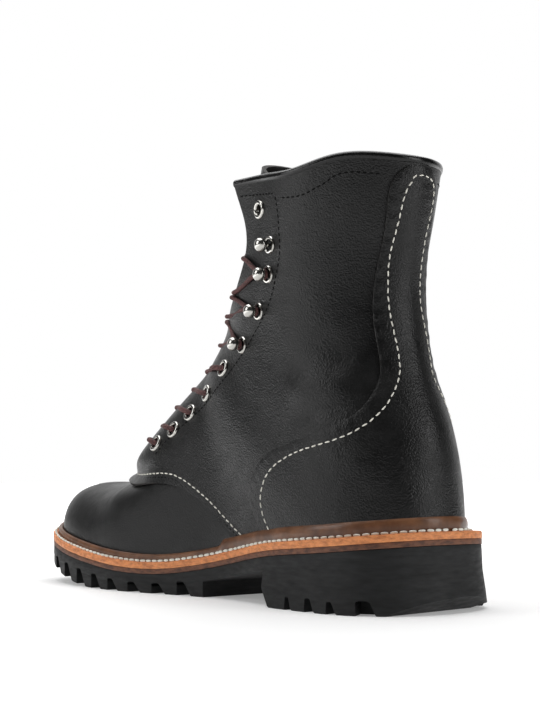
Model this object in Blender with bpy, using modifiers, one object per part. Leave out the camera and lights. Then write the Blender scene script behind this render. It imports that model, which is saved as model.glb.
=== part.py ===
"""Work boot for the right foot: a laced leather upper on a welted sole with a lugged tread and a heel.

Tables are in millimetres. Forward runs from the back of the heel to the toe, height runs up from the
floor, and the inner side is the big toe's side. The boot stands on Z = 0 with its toe towards -Y and its
inner side at +X.
"""

import bmesh
import bpy
import numpy as np
from mathutils import Matrix, Vector

MM = 0.001
WELD = 2e-5
WELD_FINE = 1e-6
BISECTIONS = 40
SHARE_STEP = 0.01
ROW_STEP = 0.05
SHARP_ANGLE = 35.0
END_TOLERANCE = 1e-6
SHARE_SAMPLES = 161
ROW_SAMPLES = 1501
CORNER_SAMPLES = 4001
OUTLINE_SAMPLES = 801
TONGUE_SAMPLES = 400

# Driving dimensions, in millimetres
LENGTH = 305.0
BALL_WIDTH = 109.4
COLLAR_HEIGHT = 205.0
SEAT_HEIGHT = 37.3
GAP = 0.3

# Sizes that the tables below are drawn for
DRAWN_LENGTH = 305.0
DRAWN_BALL = 109.4
DRAWN_COLLAR = 205.0
DRAWN_SEAT = 37.3

# Leather and rubber thicknesses
WALL = 1.8
QUARTER_STEP = 1.4
COUNTER_THICK = 1.6
TONGUE_THICK = 2.4
MIDSOLE_THICK = 3.9
SLIP_THICK = 2.8
INSOLE_THICK = 3.0
INSOLE_CLEAR = 1.6

# Sections of the last from the toe to above the collar: a front or top point, a back or bottom point, the
# widest share of the way between them, half widths, sideways swing, roundness, throat edge, the facing's
# flare, and the depth and the place of the hollow beside the instep
COLUMNS = (
    "front", "front_high", "back", "back_high", "widest", "inner", "outer",
    "swing", "front_power", "back_power", "throat", "flare", "hollow", "hollow_at",
)
SECTIONS = (
    (299.0, 40.0, 299.0, 12.0, 0.6, 0.0, 0.0, 4.0, 2.2, 2.6, 0.0, 0.0, 0.0, 0.03),
    (297.4, 46.0, 297.4, 10.0, 0.58, 13.5, 15.0, 4.0, 2.2, 2.6, 0.0, 0.0, 0.0, 0.03),
    (292.6, 51.5, 292.6, 8.0, 0.56, 22.5, 26.0, 3.6, 2.3, 2.6, 0.0, 0.0, 0.0, 0.03),
    (283.5, 55.6, 283.5, 5.0, 0.56, 30.5, 35.0, 3.0, 2.4, 2.6, 0.0, 0.0, 0.0, 0.03),
    (269.0, 57.4, 269.0, 2.0, 0.57, 37.5, 42.8, 2.2, 2.4, 2.6, 0.0, 0.0, 0.0, 0.03),
    (250.0, 56.8, 250.0, -2.0, 0.59, 42.5, 49.0, 1.0, 2.4, 2.6, 0.0, 0.0, 0.0, 0.04),
    (230.0, 63.0, 229.0, -6.0, 0.64, 45.2, 52.0, 0.4, 2.3, 2.6, 0.0, 0.0, 6.6, 0.065),
    (211.0, 80.0, 205.0, -9.0, 0.7, 46.2, 52.8, 0.0, 2.3, 2.6, 0.04, 0.0, 8.6, 0.225),
    (192.0, 97.0, 174.0, -9.0, 0.72, 43.0, 49.5, -0.8, 2.5, 2.6, 0.05, 0.0, 2.6, 0.33),
    (175.5, 110.0, 138.0, -4.0, 0.7, 38.3, 44.5, -1.6, 2.7, 2.7, 0.05, 0.0, 0.0, 0.36),
    (163.5, 119.5, 100.0, 3.0, 0.67, 35.0, 40.5, -1.6, 2.8, 2.9, 0.05, 0.0, 0.0, 0.36),
    (156.0, 126.0, 60.0, 6.0, 0.65, 37.4, 39.2, -0.8, 2.7, 3.0, 0.045, 0.0, 0.0, 0.36),
    (151.5, 131.0, 24.5, 10.0, 0.63, 38.8, 38.0, -0.2, 2.6, 2.8, 0.04, 0.0, 0.0, 0.36),
    (148.5, 135.5, 7.5, 25.0, 0.62, 37.6, 36.4, 0.0, 2.6, 2.2, 0.04, 0.0, 0.0, 0.36),
    (146.5, 140.0, 7.3, 52.0, 0.61, 36.8, 36.0, 0.0, 2.5, 2.1, 0.045, 0.0, 0.0, 0.36),
    (144.5, 145.0, 10.8, 80.0, 0.59, 36.0, 35.4, 0.0, 2.4, 1.85, 0.075, 1.0, 0.0, 0.36),
    (142.0, 151.0, 20.0, 105.0, 0.57, 36.0, 36.0, 0.0, 2.2, 1.75, 0.125, 5.0, 0.0, 0.36),
    (138.5, 158.5, 26.0, 128.0, 0.55, 36.6, 36.6, 0.0, 2.0, 1.8, 0.19, 12.0, 0.0, 0.36),
    (134.5, 167.0, 27.2, 148.0, 0.54, 37.8, 37.8, 0.0, 1.9, 1.75, 0.25, 21.0, 0.0, 0.36),
    (130.5, 177.0, 24.7, 168.0, 0.54, 39.2, 39.2, 0.0, 1.8, 1.7, 0.275, 28.0, 0.0, 0.36),
    (127.0, 189.0, 21.0, 186.0, 0.54, 40.6, 40.6, 0.0, 1.8, 1.7, 0.24, 31.0, 0.0, 0.36),
    (124.5, 204.0, 17.5, 205.0, 0.54, 42.0, 42.0, 0.0, 1.8, 1.7, 0.165, 32.0, 0.0, 0.36),
    (121.0, 226.0, 12.5, 227.0, 0.54, 43.6, 43.6, 0.0, 1.8, 1.7, 0.08, 32.0, 0.0, 0.36),
)
FLARE_REACH = 0.42
HOLLOW_SPREAD = 0.08
HOLLOW_LIMIT = 0.5
THROAT_ROW = 6.25
COLLAR_ROW = 21.0
COLLAR_RAMP_ROW = 18.0
ROW_RISE = 21.0
COLLAR_WAVE = (1.0, 1.0, 0.0, -1.5, 3.2, 2.0)
UPPER_COLUMNS = 44
UPPER_STEPS = 9
COUNTER_FIRST_ROW = 9.5
VAMP_LAST_ROW = 11.25
VAMP_CUT_DEEP = 4.2
VAMP_CUT_UNDER = 5.0
CUT_HALF_SPAN = 80.0

# Top of the midsole along the boot: forward, height
TOP_LINE = (
    (0.0, 37.3), (40.0, 33.4), (80.0, 30.0), (110.0, 25.5), (140.0, 20.4),
    (170.0, 16.9), (200.0, 17.4), (235.0, 20.8), (270.0, 25.8), (305.0, 32.5),
)
# Front edge of the quarters over the vamp: forward, height
QUARTER_EDGE = (
    (100.0, 14.0), (116.0, 30.0), (135.0, 44.0), (151.5, 52.8), (164.0, 56.0),
    (180.0, 56.8), (196.0, 55.4), (212.0, 55.8), (226.0, 59.5), (240.0, 63.0),
)
# Heel counter and back strip, seen from the side: forward, height
COUNTER_EDGE = (
    (89.0, 37.0), (93.4, 42.0), (95.5, 50.5), (90.2, 63.6), (81.6, 71.2), (67.0, 75.8), (43.9, 82.8),
    (30.7, 90.3), (28.2, 96.5), (27.6, 105.0), (29.5, 115.7), (32.7, 131.0), (33.3, 147.0), (29.6, 168.0),
    (24.5, 192.5), (22.2, 199.0), (18.2, 202.5),
)
COUNTER_BACK = ((-25.0, 202.5), (-25.0, 44.0), (0.0, 44.0), (45.0, 40.0))

# Sole outline: forward, inner and outer half width, then its rounded ends
OUTLINE = (
    (0.0, 44.6, 43.4), (44.0, 44.6, 43.6), (78.0, 43.8, 43.8), (118.0, 37.4, 45.2),
    (160.0, 42.6, 52.2), (201.0, 51.4, 58.0), (245.0, 51.4, 58.0), (305.0, 51.4, 58.0),
)
HEEL_ROUND = 44.0
HEEL_POWER = 2.4
BALL_FORWARD = 201.0
TOE_POWER = 2.55
TOE_SWING = 3.7
SOLE_STATIONS = 30
SOLE_START = -5.0
SOLE_END = DRAWN_LENGTH + 5.0
BASE_INSET = 0.3
SLIP_INSET = 0.4
TREAD_INSET = 0.8

# Tread and heel
BASE_THICK = 5.8
TREAD_REAR = 137.0
TREAD_FLAT_END = 222.0
TOE_SPRING = 17.5
SPRING_POWER = 1.7
LUG_PITCH = 17.0
LUG_FIRST = 153.0
LUG_COUNT = 8
GROOVE_WIDE = 6.0
GROOVE_LONG = 24.0
GROOVE_OUTSIDE = 6.0
GROOVE_FLOOR = -8.0
GROOVE_INTO = 1.8
TREAD_OVERLAP = 1.5
RIB_OFFSET = 15.0
HEEL_BREAST = 80.0
HEEL_FLARE = 2.2
HEEL_OVERHANG = 1.64
HEEL_NOTCH_PITCH = 15.4
HEEL_NOTCH_HIGH = 6.5
HEEL_NOTCH_DEEP = 11.0
HEEL_BEVEL = ((-20.0, -6.0), (9.0, -6.0), (7.5, 0.0), (-5.0, 6.0), (-20.0, 14.0))
BREAST_CHAMFER = ((71.0, -6.0), (95.0, -6.0), (95.0, 20.0), (81.0, 10.0), (73.0, 0.0))

# Welt profile: distance out from the upper, height above the midsole
WELT_LIP = ((1.9, 2.7), (1.6, 4.3), (0.8, 4.9), (0.1, 4.3))
WELT_EDGE_HIGH = 2.3
WELT_INSET = 0.6
WELT_LEAST = 2.3
WELT_CLEAR = 0.45
WELT_JOINT = 124.0
WELT_JOINT_LONG = 8.0
REACH_MOST = 25.0
LEAN_LEAST = -2.0
LEAN_MOST = 10.0

# Tongue: front centre and edge, seen from the side, half width and sideways swing
TONGUE_ROWS = (
    (224.6, 64.0, 224.6, 59.6, 15.4, -0.8),
    (210.8, 75.9, 210.2, 69.0, 22.0, -1.0),
    (191.4, 93.3, 189.9, 84.6, 24.0, -2.4),
    (174.3, 106.4, 170.4, 94.5, 24.5, -3.0),
    (161.7, 116.2, 153.4, 101.0, 24.5, -2.4),
    (153.6, 123.0, 141.3, 107.6, 25.0, -1.0),
    (145.5, 133.2, 123.4, 116.4, 23.8, 0.2),
    (141.0, 143.3, 112.4, 129.8, 25.4, 0.1),
    (136.5, 158.5, 97.0, 148.0, 28.5, 0.0),
    (130.5, 177.5, 88.0, 172.0, 31.0, 0.0),
    (126.0, 193.0, 86.0, 190.0, 32.0, 0.0),
    (121.5, 208.0, 87.0, 201.0, 31.5, 0.0),
    (117.0, 222.0, 89.0, 208.0, 30.5, 0.0),
)
TONGUE_LONG = 16
TONGUE_WIDE = 10

# Lacing hardware, seen from the side: forward, height
EYELETS = ((185.3, 77.8), (171.8, 84.9), (160.3, 93.6), (145.5, 103.4), (128.4, 115.3), (87.6, 190.6))
HOOKS = ((109.5, 126.0), (92.6, 141.4), (82.2, 158.3), (79.3, 172.2))
EYELET_RADIUS = 3.55
EYELET_WIRE = 1.15
EYELET_SIDES = 10
EYELET_WIRE_SIDES = 4
HOOK_PLATE_RADIUS = 4.0
HOOK_PLATE_HIGH = 0.9
HOOK_STEM_RADIUS = 1.5
HOOK_BALL_RADIUS = 3.0
HOOK_PLATE_SIDES = 10
HOOK_STEM_SIDES = 6
HOOK_BALL_SIDES = 8
HOOK_BALL_RINGS = 5
HOOK_BALL_OUT = 4.6
HOOK_BALL_FORWARD = 0.4
LACE_RADIUS = 1.2
LACE_CLEAR = 0.6
LACE_POINTS = 7
LACE_END_SHARE = 0.22
LACE_EDGE_LIFT = -1.5
LACE_OVER = 0.9
BINDING_RADIUS = 1.7
BINDING_LIFT = 0.15

# Materials: colour, roughness, metallic
MATERIALS = {
    "leather": ((0.012, 0.012, 0.013), 0.5, 0.0),
    "rubber": ((0.022, 0.023, 0.024), 0.7, 0.0),
    "tan_edge": ((0.42, 0.17, 0.06), 0.5, 0.0),
    "dark_edge": ((0.11, 0.055, 0.032), 0.6, 0.0),
    "welt_leather": ((0.13, 0.075, 0.045), 0.5, 0.0),
    "insole_leather": ((0.35, 0.22, 0.13), 0.7, 0.0),
    "nickel": ((0.72, 0.70, 0.66), 0.25, 1.0),
    "cord": ((0.05, 0.018, 0.018), 0.8, 0.0),
}


def clear_scene():
    for obj in list(bpy.data.objects):
        bpy.data.objects.remove(obj, do_unlink=True)


def new_collection(name):
    collection = bpy.data.collections.new(name)
    bpy.context.scene.collection.children.link(collection)
    return collection


def new_material(name):
    colour, roughness, metallic = MATERIALS[name]
    material = bpy.data.materials.new(name)
    material.use_nodes = True
    shader = material.node_tree.nodes["Principled BSDF"]
    shader.inputs["Base Color"].default_value = (*colour, 1.0)
    shader.inputs["Roughness"].default_value = roughness
    shader.inputs["Metallic"].default_value = metallic
    return material


def natural_cubic(knots, values):
    """A smooth curve through the rows of a table."""
    knots = np.asarray(knots, float)
    values = np.asarray(values, float)
    count = len(knots)
    step = np.diff(knots)
    matrix = np.eye(count)
    right = np.zeros_like(values)
    for i in range(1, count - 1):
        matrix[i, i - 1 : i + 2] = step[i - 1], 2 * (step[i - 1] + step[i]), step[i]
        right[i] = 6 * ((values[i + 1] - values[i]) / step[i] - (values[i] - values[i - 1]) / step[i - 1])
    bend = np.linalg.solve(matrix, right)

    def at(where):
        where = np.clip(np.asarray(where, float), knots[0], knots[-1])
        i = np.clip(np.searchsorted(knots, where) - 1, 0, count - 2)
        width = step[i]
        after = (where - knots[i]) / width
        if values.ndim == 2:
            width, after = width[..., None], after[..., None]
        before = 1 - after
        curve = (before**3 - before) * bend[i] + (after**3 - after) * bend[i + 1]
        return before * values[i] + after * values[i + 1] + curve * width**2 / 6

    return at


SECTION_CURVE = natural_cubic(range(len(SECTIONS)), SECTIONS)
TOP_CURVE = natural_cubic(*zip(*TOP_LINE))
QUARTER_CURVE = natural_cubic(*zip(*QUARTER_EDGE))
COLLAR_CURVE = natural_cubic(np.linspace(0, 1, len(COLLAR_WAVE)), COLLAR_WAVE)
OUTLINE_CURVE = natural_cubic([row[0] for row in OUTLINE], [row[1:] for row in OUTLINE])
CENTRE = (OUTLINE[5][2] - OUTLINE[5][1]) / 2


def world(points):
    """Table places (across, forward, height) as metres in the boot's frame."""
    points = np.asarray(points, float)
    across = (points[..., 0] + CENTRE) * BALL_WIDTH / DRAWN_BALL
    forward = (LENGTH - HEEL_OVERHANG) / 2 - points[..., 1] * LENGTH / DRAWN_LENGTH
    return np.stack([across, forward, points[..., 2] * COLLAR_HEIGHT / DRAWN_COLLAR], -1) * MM


def section(row):
    return dict(zip(COLUMNS, np.moveaxis(SECTION_CURVE(row), -1, 0)))


def half_width(cut, share, side):
    """Half width of a section at a share of the way from its front point to its back point."""
    widest = cut["widest"]
    ahead = np.clip((widest - share) / widest, 0, 1)
    behind = np.clip((share - widest) / (1 - widest), 0, 1)
    front = (1 - ahead ** cut["front_power"]) ** (1 / cut["front_power"])
    back = (1 - behind ** cut["back_power"]) ** (1 / cut["back_power"])
    size = np.maximum(cut["inner"] if side > 0 else cut["outer"], 0)
    flare = cut["flare"] * np.clip(1 - share / FLARE_REACH, 0, 1) ** 2
    plain = size * np.where(share < widest, front, back)
    sink = np.maximum(cut["hollow"], 0) * np.exp(-(((share - cut["hollow_at"]) / HOLLOW_SPREAD) ** 2))
    return plain - np.minimum(sink, HOLLOW_LIMIT * plain) + flare


def side_view(cut, share):
    forward = cut["front"] + share * (cut["back"] - cut["front"])
    high = cut["front_high"] + share * (cut["back_high"] - cut["front_high"])
    return forward, high


def form_point(row, share, side):
    """A place on the last, with the collar's wave worked into the top rows."""
    row, share = np.broadcast_arrays(np.asarray(row, float), np.asarray(share, float))
    ramp = np.clip((row - COLLAR_RAMP_ROW) / (COLLAR_ROW - COLLAR_RAMP_ROW), 0, 1)
    cut = section(row + ramp**2 * COLLAR_CURVE(share) / ROW_RISE)
    forward, high = side_view(cut, share)
    return np.stack([cut["swing"] + side * half_width(cut, share, side), forward, high], -1)


def row_through(forward, high):
    """The section row and the share whose side view is at this place."""
    low, top = 0.0, float(len(SECTIONS) - 1)
    for _ in range(BISECTIONS):
        row = (low + top) / 2
        cut = section(row)
        along = (cut["back"] - cut["front"], cut["back_high"] - cut["front_high"])
        off = (forward - cut["front"], high - cut["front_high"])
        if along[0] * off[1] - along[1] * off[0] > 0:
            top = row
        else:
            low = row
    share = (off[0] * along[0] + off[1] * along[1]) / (along[0] ** 2 + along[1] ** 2)
    return row, float(np.clip(share, 0, 1))


def surface_frame(forward, high, side):
    """Point, outward normal and forward tangent of the last at a side view place, in table axes."""
    row, share = row_through(forward, high)
    point = form_point(row, share, side)
    along = form_point(row, share + SHARE_STEP, side) - form_point(row, share - SHARE_STEP, side)
    across = form_point(row + ROW_STEP, share, side) - form_point(row - ROW_STEP, share, side)
    normal = np.cross(along, across)
    normal *= np.sign(normal[0] * side) / np.linalg.norm(normal)
    return point, normal, -along / np.linalg.norm(along)


def share_at_line(row, line):
    """Where a section, going down, passes a line of heights by distance forward."""
    cut = section(row)
    low = np.zeros_like(cut["front"])
    high = np.ones_like(low)
    for _ in range(BISECTIONS):
        middle = (low + high) / 2
        forward, height = side_view(cut, middle)
        above = height > line(forward)
        low = np.where(above, middle, low)
        high = np.where(above, high, middle)
    return np.where(low > 1 - END_TOLERANCE, 1.0, np.where(high < END_TOLERANCE, 0.0, (low + high) / 2))


def midsole_top(forward):
    return TOP_CURVE(forward) * SEAT_HEIGHT / DRAWN_SEAT


def feather_line(forward):
    return midsole_top(forward) + GAP


def lower_line(forward):
    return midsole_top(forward) - VAMP_CUT_UNDER


def quarter_line(forward):
    return QUARTER_CURVE(forward)


def even_shares(row, top, bottom, side, count):
    """Shares down one side of a section, evenly spaced along its curve."""
    eased = (1 - np.cos(np.linspace(0, np.pi, SHARE_SAMPLES))) / 2
    shares = top + (bottom - top) * eased
    points = form_point(np.full_like(shares, row), shares, side)
    run = np.r_[0, np.cumsum(np.linalg.norm(np.diff(points, axis=0), axis=1))]
    if run[-1] == 0:
        return np.linspace(top, bottom, count)
    return np.interp(np.linspace(0, run[-1], count), run, shares)


def heel_corner_row():
    rows = np.linspace(0, COLLAR_ROW, CORNER_SAMPLES)
    return rows[np.argmax(share_at_line(rows, feather_line) >= 1)]


def upper_rows(count):
    """Section rows whose lower ends are evenly spaced round the sole and up the back."""
    rows = np.linspace(0, COLLAR_ROW, ROW_SAMPLES)
    path = form_point(rows, share_at_line(rows, feather_line), 1)
    run = np.r_[0, np.cumsum(np.linalg.norm(np.diff(path, axis=0), axis=1))]
    picked = np.interp(np.linspace(0, run[-1], count), run, rows)
    for fixed in (THROAT_ROW, heel_corner_row()):
        picked[np.argmin(np.abs(picked - fixed))] = fixed
    return picked


def throat_share(row):
    return float(np.maximum(section(row)["throat"], 0)) if row > THROAT_ROW else 0.0


def skin(rows, tops, bottoms, steps):
    """Open surface of the last between two lines, both sides welded where they meet."""
    mesh = bmesh.new()
    for side in (1, -1):
        grid = []
        for row, top, bottom in zip(rows, tops, bottoms):
            shares = even_shares(row, top, bottom, side, steps + 1)
            points = world(form_point(np.full_like(shares, row), shares, side))
            grid.append([mesh.verts.new(point) for point in points])
        for here, there in zip(grid, grid[1:]):
            for j in range(steps):
                corners = (here[j], here[j + 1], there[j + 1], there[j])
                mesh.faces.new(corners if side > 0 else corners[::-1])
    bmesh.ops.remove_doubles(mesh, verts=mesh.verts, dist=WELD)
    bmesh.ops.dissolve_degenerate(mesh, edges=mesh.edges, dist=WELD_FINE)
    bmesh.ops.triangulate(mesh, faces=mesh.faces, quad_method="SHORT_EDGE")
    return mesh


def link(name, mesh, material, collection):
    data = bpy.data.meshes.new(name)
    mesh.to_mesh(data)
    mesh.free()
    obj = bpy.data.objects.new(name, data)
    collection.objects.link(obj)
    if material:
        data.materials.append(material)
    return obj


def link_cutter(name, mesh, collection):
    obj = link(name, mesh, None, collection)
    obj.hide_render = True
    obj.display_type = "WIRE"
    return obj


def thicken(obj, inside, outside):
    """Solidify between two distances from the surface, outwards counted as plus."""
    solid = obj.modifiers.new("wall", "SOLIDIFY")
    solid.thickness = (outside - inside) * MM
    solid.offset = (inside + outside) / (outside - inside)
    solid.use_even_offset = True
    solid.use_rim = True


def cut_with(obj, cutter, operation, mends_self=False):
    boolean = obj.modifiers.new(operation.lower(), "BOOLEAN")
    boolean.operation = operation
    boolean.object = cutter
    boolean.use_self = mends_self


def side_prism(outline):
    """A prism across the boot with a side view outline."""
    mesh = bmesh.new()
    ring = [mesh.verts.new(world((-CUT_HALF_SPAN, forward, high))) for forward, high in outline]
    face = mesh.faces.new(ring)
    made = bmesh.ops.extrude_face_region(mesh, geom=[face])["geom"]
    moved = [item for item in made if isinstance(item, bmesh.types.BMVert)]
    bmesh.ops.translate(mesh, verts=moved, vec=(2 * CUT_HALF_SPAN * MM, 0, 0))
    bmesh.ops.recalc_face_normals(mesh, faces=mesh.faces)
    return mesh


def make_upper(parts, cutters, material):
    """One hollow wall, thicker where the quarters lie over the vamp."""
    rows = upper_rows(UPPER_COLUMNS)
    tops = [throat_share(row) for row in rows]
    bottoms = share_at_line(rows, feather_line)
    upper = link("upper", skin(rows, tops, bottoms, UPPER_STEPS), material, parts)
    thicken(upper, -WALL, QUARTER_STEP)
    edge = share_at_line(rows, quarter_line)
    floor = share_at_line(rows, lower_line)
    kept = (edge < floor) & (rows < VAMP_LAST_ROW)
    vamp_skin = skin(rows[kept], edge[kept], floor[kept], UPPER_STEPS)
    vamp_cutter = link_cutter("vamp_cutter", vamp_skin, cutters)
    thicken(vamp_cutter, 0.0, VAMP_CUT_DEEP)
    cut_with(upper, vamp_cutter, "DIFFERENCE")
    heel_rows = rows > COUNTER_FIRST_ROW
    heel_skin = skin(rows[heel_rows], np.array(tops)[heel_rows], bottoms[heel_rows], UPPER_STEPS)
    counter = link("counter", heel_skin, material, parts)
    inside = QUARTER_STEP + GAP
    thicken(counter, inside, inside + COUNTER_THICK)
    prism = link_cutter("counter_cutter", side_prism(COUNTER_EDGE + COUNTER_BACK), cutters)
    cut_with(counter, prism, "INTERSECT")


def make_binding(parts, material):
    """Rolled edge that lies along the collar."""
    shares = even_shares(COLLAR_ROW, throat_share(COLLAR_ROW), 1.0, 1, UPPER_STEPS + 1)
    inner = form_point(np.full_like(shares, COLLAR_ROW), shares, 1)
    outer = form_point(np.full_like(shares, COLLAR_ROW), shares, -1)
    path = np.concatenate([inner, outer[-2::-1]])
    path[:, 2] += GAP + BINDING_RADIUS + BINDING_LIFT
    mesh = cord_mesh(path, BINDING_RADIUS)
    link("collar_binding", mesh, material, parts)


def cord_mesh(path, radius):
    """A round cord along a path, as a closed mesh."""
    curve = bpy.data.curves.new("cord_path", "CURVE")
    curve.dimensions = "3D"
    curve.bevel_depth = radius * MM
    curve.bevel_resolution = 1
    curve.use_fill_caps = True
    spline = curve.splines.new("POLY")
    spline.points.add(len(path) - 1)
    for point, place in zip(spline.points, world(path)):
        point.co = (*place, 1.0)
    obj = bpy.data.objects.new("cord_path", curve)
    bpy.context.scene.collection.objects.link(obj)
    graph = bpy.context.evaluated_depsgraph_get()
    data = bpy.data.meshes.new_from_object(obj.evaluated_get(graph))
    mesh = bmesh.new()
    mesh.from_mesh(data)
    bmesh.ops.remove_doubles(mesh, verts=mesh.verts, dist=WELD_FINE)
    bmesh.ops.recalc_face_normals(mesh, faces=mesh.faces)
    bpy.data.objects.remove(obj, do_unlink=True)
    bpy.data.curves.remove(curve)
    bpy.data.meshes.remove(data)
    return mesh


def tongue_point(row, turn, out):
    """A place on the tongue: turn runs from -90 to 90 degrees across it, out is along its normal."""
    front, front_high, edge, edge_high, half, swing = np.moveaxis(TONGUE_CURVE(row), -1, 0)
    deep = 1 - np.cos(turn)
    forward = front + (edge - front) * deep
    high = front_high + (edge_high - front_high) * deep
    reach = np.hypot(edge - front, edge_high - front_high)
    away = ((front - edge) / reach, (front_high - edge_high) / reach)
    lift = np.cos(turn) * out
    across = swing + (half + out) * np.sin(turn)
    return np.stack([across, forward + away[0] * lift, high + away[1] * lift], -1)


TONGUE_CURVE = natural_cubic(range(len(TONGUE_ROWS)), TONGUE_ROWS)


def make_tongue(parts, material):
    mesh = bmesh.new()
    turns = np.linspace(-np.pi / 2, np.pi / 2, TONGUE_WIDE + 1)
    grid = []
    for row in np.linspace(0, len(TONGUE_ROWS) - 1, TONGUE_LONG + 1):
        points = world(tongue_point(np.full_like(turns, row), turns, 0.0))
        grid.append([mesh.verts.new(point) for point in points])
    for here, there in zip(grid, grid[1:]):
        for j in range(TONGUE_WIDE):
            mesh.faces.new((here[j], here[j + 1], there[j + 1], there[j]))
    mesh.normal_update()
    if grid[0][TONGUE_WIDE // 2].normal.z < 0:
        bmesh.ops.reverse_faces(mesh, faces=mesh.faces)
    tongue = link("tongue", mesh, material, parts)
    thicken(tongue, -TONGUE_THICK, 0.0)


def sole_sides(grow):
    """Inner and outer edge of the sole, moved outwards, as (forward, across) curves."""
    forward = (1 - np.cos(np.linspace(0, np.pi, OUTLINE_SAMPLES))) / 2 * DRAWN_LENGTH
    widths = OUTLINE_CURVE(np.minimum(forward, BALL_FORWARD))
    heel = (1 - np.clip(1 - forward / HEEL_ROUND, 0, 1) ** HEEL_POWER) ** (1 / HEEL_POWER)
    ahead = np.clip((forward - BALL_FORWARD) / (DRAWN_LENGTH - BALL_FORWARD), 0, 1)
    toe = (1 - ahead**TOE_POWER) ** (1 / TOE_POWER)
    sides = {}
    for side, width in ((1, widths[:, 0]), (-1, widths[:, 1])):
        across = TOE_SWING * ahead**2 + side * width * heel * toe
        turn_across, turn_forward = np.gradient(across), np.gradient(forward)
        length = np.hypot(turn_across, turn_forward)
        sides[side] = (
            forward - side * grow * turn_across / length,
            across + side * grow * turn_forward / length,
        )
    return sides


def sole_across(sides, side, forward):
    return np.interp(forward, *sides[side])


def plate(low_sides, high_sides, low, high, start, end):
    """A layer of the sole between two height lines, with an outline of its own at top and bottom."""
    mesh = bmesh.new()
    eased = (1 - np.cos(np.linspace(0, np.pi, SOLE_STATIONS))) / 2
    rings = []
    for sides, line in ((low_sides, low), (high_sides, high)):
        first = max(start, sides[1][0][0])
        last = min(end, sides[1][0][-1])
        forward = first + (last - first) * eased
        for side in (1, -1):
            across = sole_across(sides, side, forward)
            points = world(np.stack([across, forward, line(forward)], -1))
            rings.append([mesh.verts.new(point) for point in points])
    inner_low, outer_low, inner_high, outer_high = rings
    around = [inner_low, inner_high, outer_high, outer_low]
    for i in range(SOLE_STATIONS - 1):
        for a, b in zip(around, around[1:] + around[:1]):
            mesh.faces.new((a[i], b[i], b[i + 1], a[i + 1]))
    for i in (0, SOLE_STATIONS - 1):
        mesh.faces.new([ring[i] for ring in around])
    bmesh.ops.remove_doubles(mesh, verts=mesh.verts, dist=WELD)
    bmesh.ops.recalc_face_normals(mesh, faces=mesh.faces)
    return mesh


def midsole_bottom(forward):
    return midsole_top(forward) - MIDSOLE_THICK


def slip_top(forward):
    return midsole_bottom(forward) - GAP


def slip_bottom(forward):
    return slip_top(forward) - SLIP_THICK


def outsole_top(forward):
    return slip_bottom(forward) - GAP


def base_bottom(forward):
    return outsole_top(forward) - BASE_THICK


def tread_root(forward):
    return base_bottom(forward) + TREAD_OVERLAP


def tread_bottom(forward):
    ahead = np.clip((forward - TREAD_FLAT_END) / (DRAWN_LENGTH - TREAD_FLAT_END), 0, 1)
    return TOE_SPRING * ahead**SPRING_POWER


def heel_top(forward):
    return base_bottom(forward) - GAP


def heel_bottom(forward):
    return np.zeros_like(forward)


def add_block(mesh, across, forward, heights):
    """A box cutter between two across, two forward and, at each end, two height values."""
    verts = []
    for y, (low, high) in zip(forward, heights):
        for x in across:
            for z in (low, high):
                verts.append(mesh.verts.new(world((x, y, z))))
    made = [verts[i] for i in (0, 1, 3, 2, 4, 5, 7, 6)]
    near, far = made[:4], made[4:]
    mesh.faces.new(near)
    mesh.faces.new(far[::-1])
    for i in range(4):
        mesh.faces.new((near[i], far[i], far[(i + 1) % 4], near[(i + 1) % 4]))


def groove_mesh():
    """Gaps between the forefoot lugs: side grooves, two ribs' channels and short cross cuts between them."""
    mesh = bmesh.new()
    sides = sole_sides(0.0)
    half = GROOVE_WIDE / 2
    for k in range(LUG_COUNT):
        middle = LUG_FIRST + k * LUG_PITCH
        ends = np.array([middle - half, middle + half])
        heights = [(GROOVE_FLOOR, float(base_bottom(end)) + GROOVE_INTO) for end in ends]
        for side in (1, -1):
            edge = float(sole_across(sides, side, middle))
            across = sorted((edge + side * GROOVE_OUTSIDE, edge - side * GROOVE_LONG))
            add_block(mesh, across, ends, heights)
        shifted = ends + LUG_PITCH / 2
        if k < LUG_COUNT - 2:
            lows = [(GROOVE_FLOOR, float(base_bottom(end)) + GROOVE_INTO) for end in shifted]
            add_block(mesh, (-RIB_OFFSET, RIB_OFFSET), shifted, lows)
    bmesh.ops.recalc_face_normals(mesh, faces=mesh.faces)
    return mesh


def make_outsole(parts, cutters, material):
    sides = sole_sides(-BASE_INSET)
    whole = plate(sides, sides, base_bottom, outsole_top, SOLE_START, SOLE_END)
    outsole = link("outsole", whole, material, parts)
    sides = sole_sides(-TREAD_INSET)
    block = plate(sides, sides, tread_bottom, tread_root, TREAD_REAR, SOLE_END)
    cut_with(outsole, link_cutter("tread", block, cutters), "UNION")
    cut_with(outsole, link_cutter("tread_grooves", groove_mesh(), cutters), "DIFFERENCE", mends_self=True)


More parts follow.
